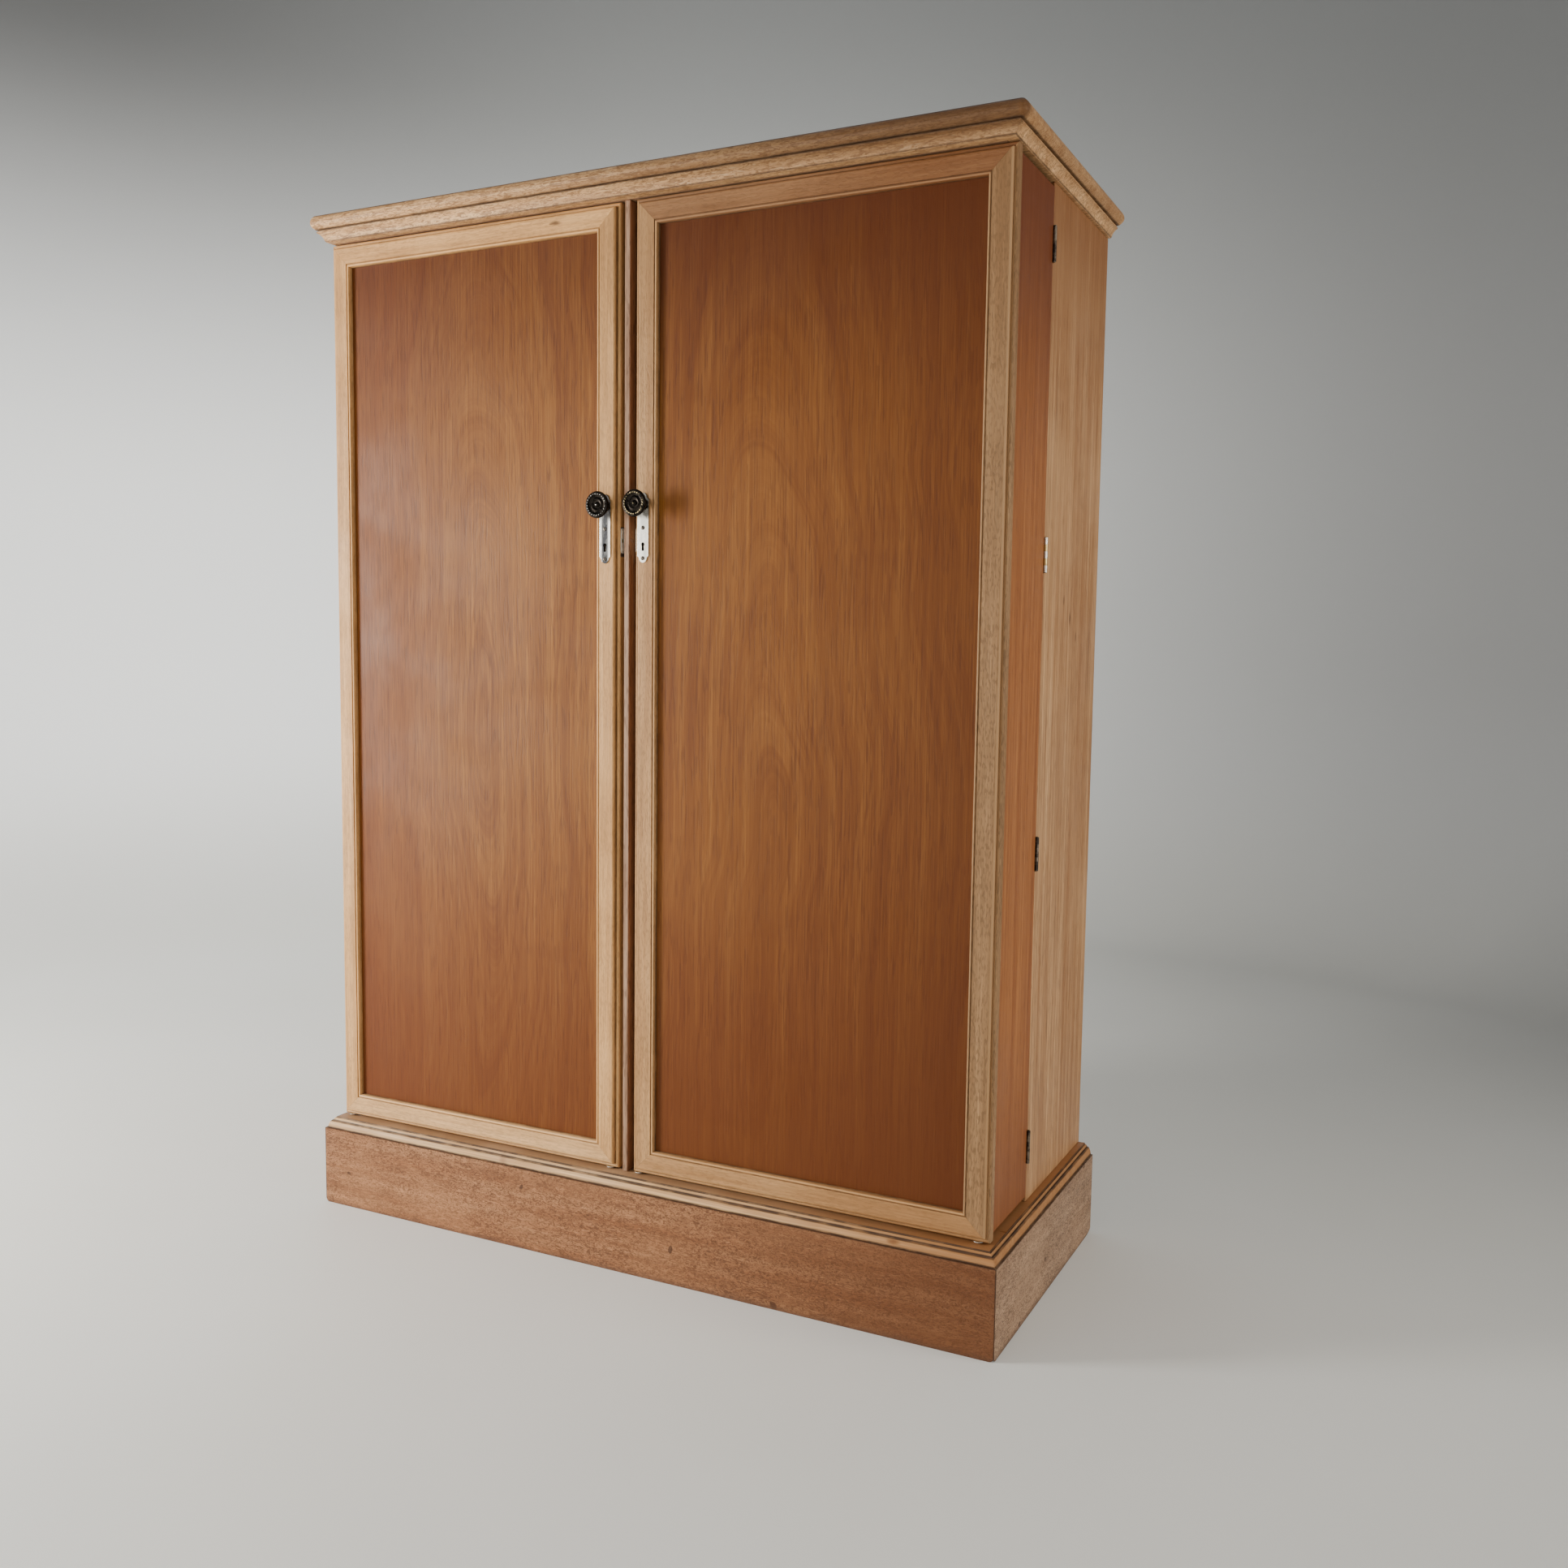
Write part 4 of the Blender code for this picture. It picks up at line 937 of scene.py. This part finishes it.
def build_fittings():
    dark_steel = metal("screw_steel", *DARK_STEEL, (0.35, 0.5), (0.36, 0.56), scale=400)
    brass = metal("fitting_brass", *BRASS, (0.28, 0.5), (0.45, 0.66), scale=150)
    dark = metal("pin_bronze", *BRONZE, (0.30, 0.5), (0.42, 0.58), scale=300)
    # Near-black sheet of painted shade for the keyholes.
    keyhole_shade_material = metal("keyhole_painted_shade", *KEYHOLE_DARK, (0.6, 0.8), scale=300)
    # The forend's pale cream colour, with little metal in it, is partly the strip's own colour and partly
    # a painted highlight.
    cream = (0.98, 0.93, 0.78)
    forend_cream_and_highlight = metal("forend_nickel", cream, NICKEL[0], (0.45, 0.60), (0.60, 0.80), 120, 0.25)
    silvery, brassy = (0.66, 0.64, 0.60), (0.70, 0.55, 0.30)
    left_tip, right_tip = KNOB_TIP - 0.0004, KNOB_TIP - 0.0038
    knobs = {
        "left": bronze("left_knob_bronze", silvery, 0.85, left_tip, 0.0007, (0.38, 0.52)),
        "right": bronze("right_knob_bronze", brassy, 0.90, right_tip, 0.0012, (0.42, 0.56)),
    }
    grey_plate = ((0.93, 0.91, 0.85), (0.060, 0.060, 0.064))
    white_plate = ((1.0, 0.96, 0.86), (0.050, 0.044, 0.036))
    plates = {
        "left": nickel("left_plate_nickel", PLATE_X["left"], *grey_plate, 1.0, 0.9),
        "right": nickel("right_plate_nickel", 0.0262, *white_plate, 0.12, 0.85),
    }
    build_knobs(knobs)
    build_plates(plates, dark_steel, keyhole_shade_material)
    build_forends(forend_cream_and_highlight, forend_cream_and_highlight)
    build_hinge_screws(brass)
    build_hinge_tips(dark)
    glide = metal("glide_steel", (0.75, 0.74, 0.72), STEEL[1], (0.15, 0.35), (0.5, 0.7), scale=200)
    build_glides(glide)
    build_rod_sockets(brass, dark_steel)


# ---- Stage ----

ROOM_RADIUS = 3.7
COVE = 0.9
WALL_HEIGHT = 5.5


def surface(name, rings, material):
    """A smooth skin through rings of points, each joined to the next."""
    mesh = bpy.data.meshes.new(name)
    count = len(rings[0])
    faces = []
    for row in range(len(rings) - 1):
        for i in range(count):
            a, b = row * count + i, row * count + (i + 1) % count
            faces.append((a, b, b + count, a + count))
    mesh.from_pydata([p for ring in rings for p in ring], [], faces)
    mesh.shade_smooth()
    obj = bpy.data.objects.new(name, mesh)
    bpy.context.scene.collection.objects.link(obj)
    mesh.materials.append(material)
    return obj


def stage_paint():
    """Off-white floor that turns into a pale grey wall, darker on the right, towards the top and in the
    upper left by painted shade, with a painted light glowing from its lower left.
    """
    look = Shading("stage_paint")
    cloud = look.noise(look.stretch((1.3, 1.3, 1.3)), 1.0, 3.0)
    colour = look.ramp(cloud, (0.3, (0.80, 0.797, 0.745)), (0.7, (0.84, 0.837, 0.790)))
    wall = look.span(look.z, 0.0, 0.8)
    colour = look.blend(colour, (0.82, 0.835, 0.83), wall)
    turn = look.plus(look.times(look.x, 0.894), look.times(look.y, 0.448))
    rise = look.span(look.z, 0.0, 1.1, 0.82, 1.0)
    # Painted shade on the right.
    right_shade_mask = look.times(look.span(turn, -0.2, 3.0, 0.0, 0.90), rise)
    colour = look.blend(colour, (0.15, 0.15, 0.149), right_shade_mask)
    # Painted shade towards the top.
    colour = look.blend(colour, (0.18, 0.185, 0.185), look.span(look.z, 1.7, 4.0, 0.0, 0.80))
    # Painted shade in the upper left.
    corner = look.times(look.span(turn, -0.2, -2.8, 0.0, 0.92), look.span(look.z, 1.5, 3.8))
    colour = look.blend(colour, (0.12, 0.12, 0.12), corner)
    # Painted light: an emission on the lower left of the wall and floor, fading upward.
    leftward = look.span(turn, -2.6, 1.6, 0.62, 0.05)
    painted_light = look.times(leftward, look.span(look.z, 0.0, 0.7, 0.34, 1.0))
    high = look.span(look.z, 1.4, 3.4, 1.0, 0.04)
    look.put(look.shader.inputs["Emission Color"], (1.0, 1.0, 0.985, 1))
    look.put(look.shader.inputs["Emission Strength"], look.times(painted_light, high))
    return look.finish(base_color=colour, roughness=0.55, specular_ior_level=0.3)


def build_stage():
    profile = [(0.001, 0.0), (ROOM_RADIUS - COVE, 0.0)]
    for step in range(1, 13):
        angle = math.pi / 2 * step / 12
        profile.append((ROOM_RADIUS - COVE + COVE * math.sin(angle), COVE * (1 - math.cos(angle))))
    profile.append((ROOM_RADIUS, WALL_HEIGHT))
    rings = []
    for radius, height in profile:
        turns = [2 * math.pi * i / 96 for i in range(96)]
        rings.append([(radius * math.cos(t), radius * math.sin(t), height) for t in turns])
    surface("stage", rings, stage_paint())


def area_light(name, place, target, size, power, colour=(1, 1, 1)):
    data = bpy.data.lights.new(name, "AREA")
    data.shape = "RECTANGLE"
    data.size, data.size_y = size
    data.energy = power
    data.color = colour
    light = bpy.data.objects.new(name, data)
    bpy.context.scene.collection.objects.link(light)
    light.location = place
    aim = Vector(target) - Vector(place)
    light.rotation_mode = "QUATERNION"
    light.rotation_quaternion = aim.to_track_quat("-Z", "Y")
    light.visible_camera = False


def build_lights():
    area_light("window", (-2.7, -2.0, 1.15), (-0.1, 0.0, 0.85), (0.75, 1.3), 135, (1.0, 0.97, 0.92))
    area_light("fill", (3.1, -0.05, 1.3), (0.4, 0.05, 0.9), (1.6, 1.9), 47, (1.0, 0.95, 0.88))
    world = bpy.data.worlds.new("soft_room")
    bpy.context.scene.world = world
    world.use_nodes = True
    back = world.node_tree.nodes["Background"]
    back.inputs["Color"].default_value = (0.92, 0.96, 1.0, 1)
    back.inputs["Strength"].default_value = 0.60


build_camera()
build_finishes()
build_fittings()
build_stage()
build_lights()
bpy.context.view_layer.update()
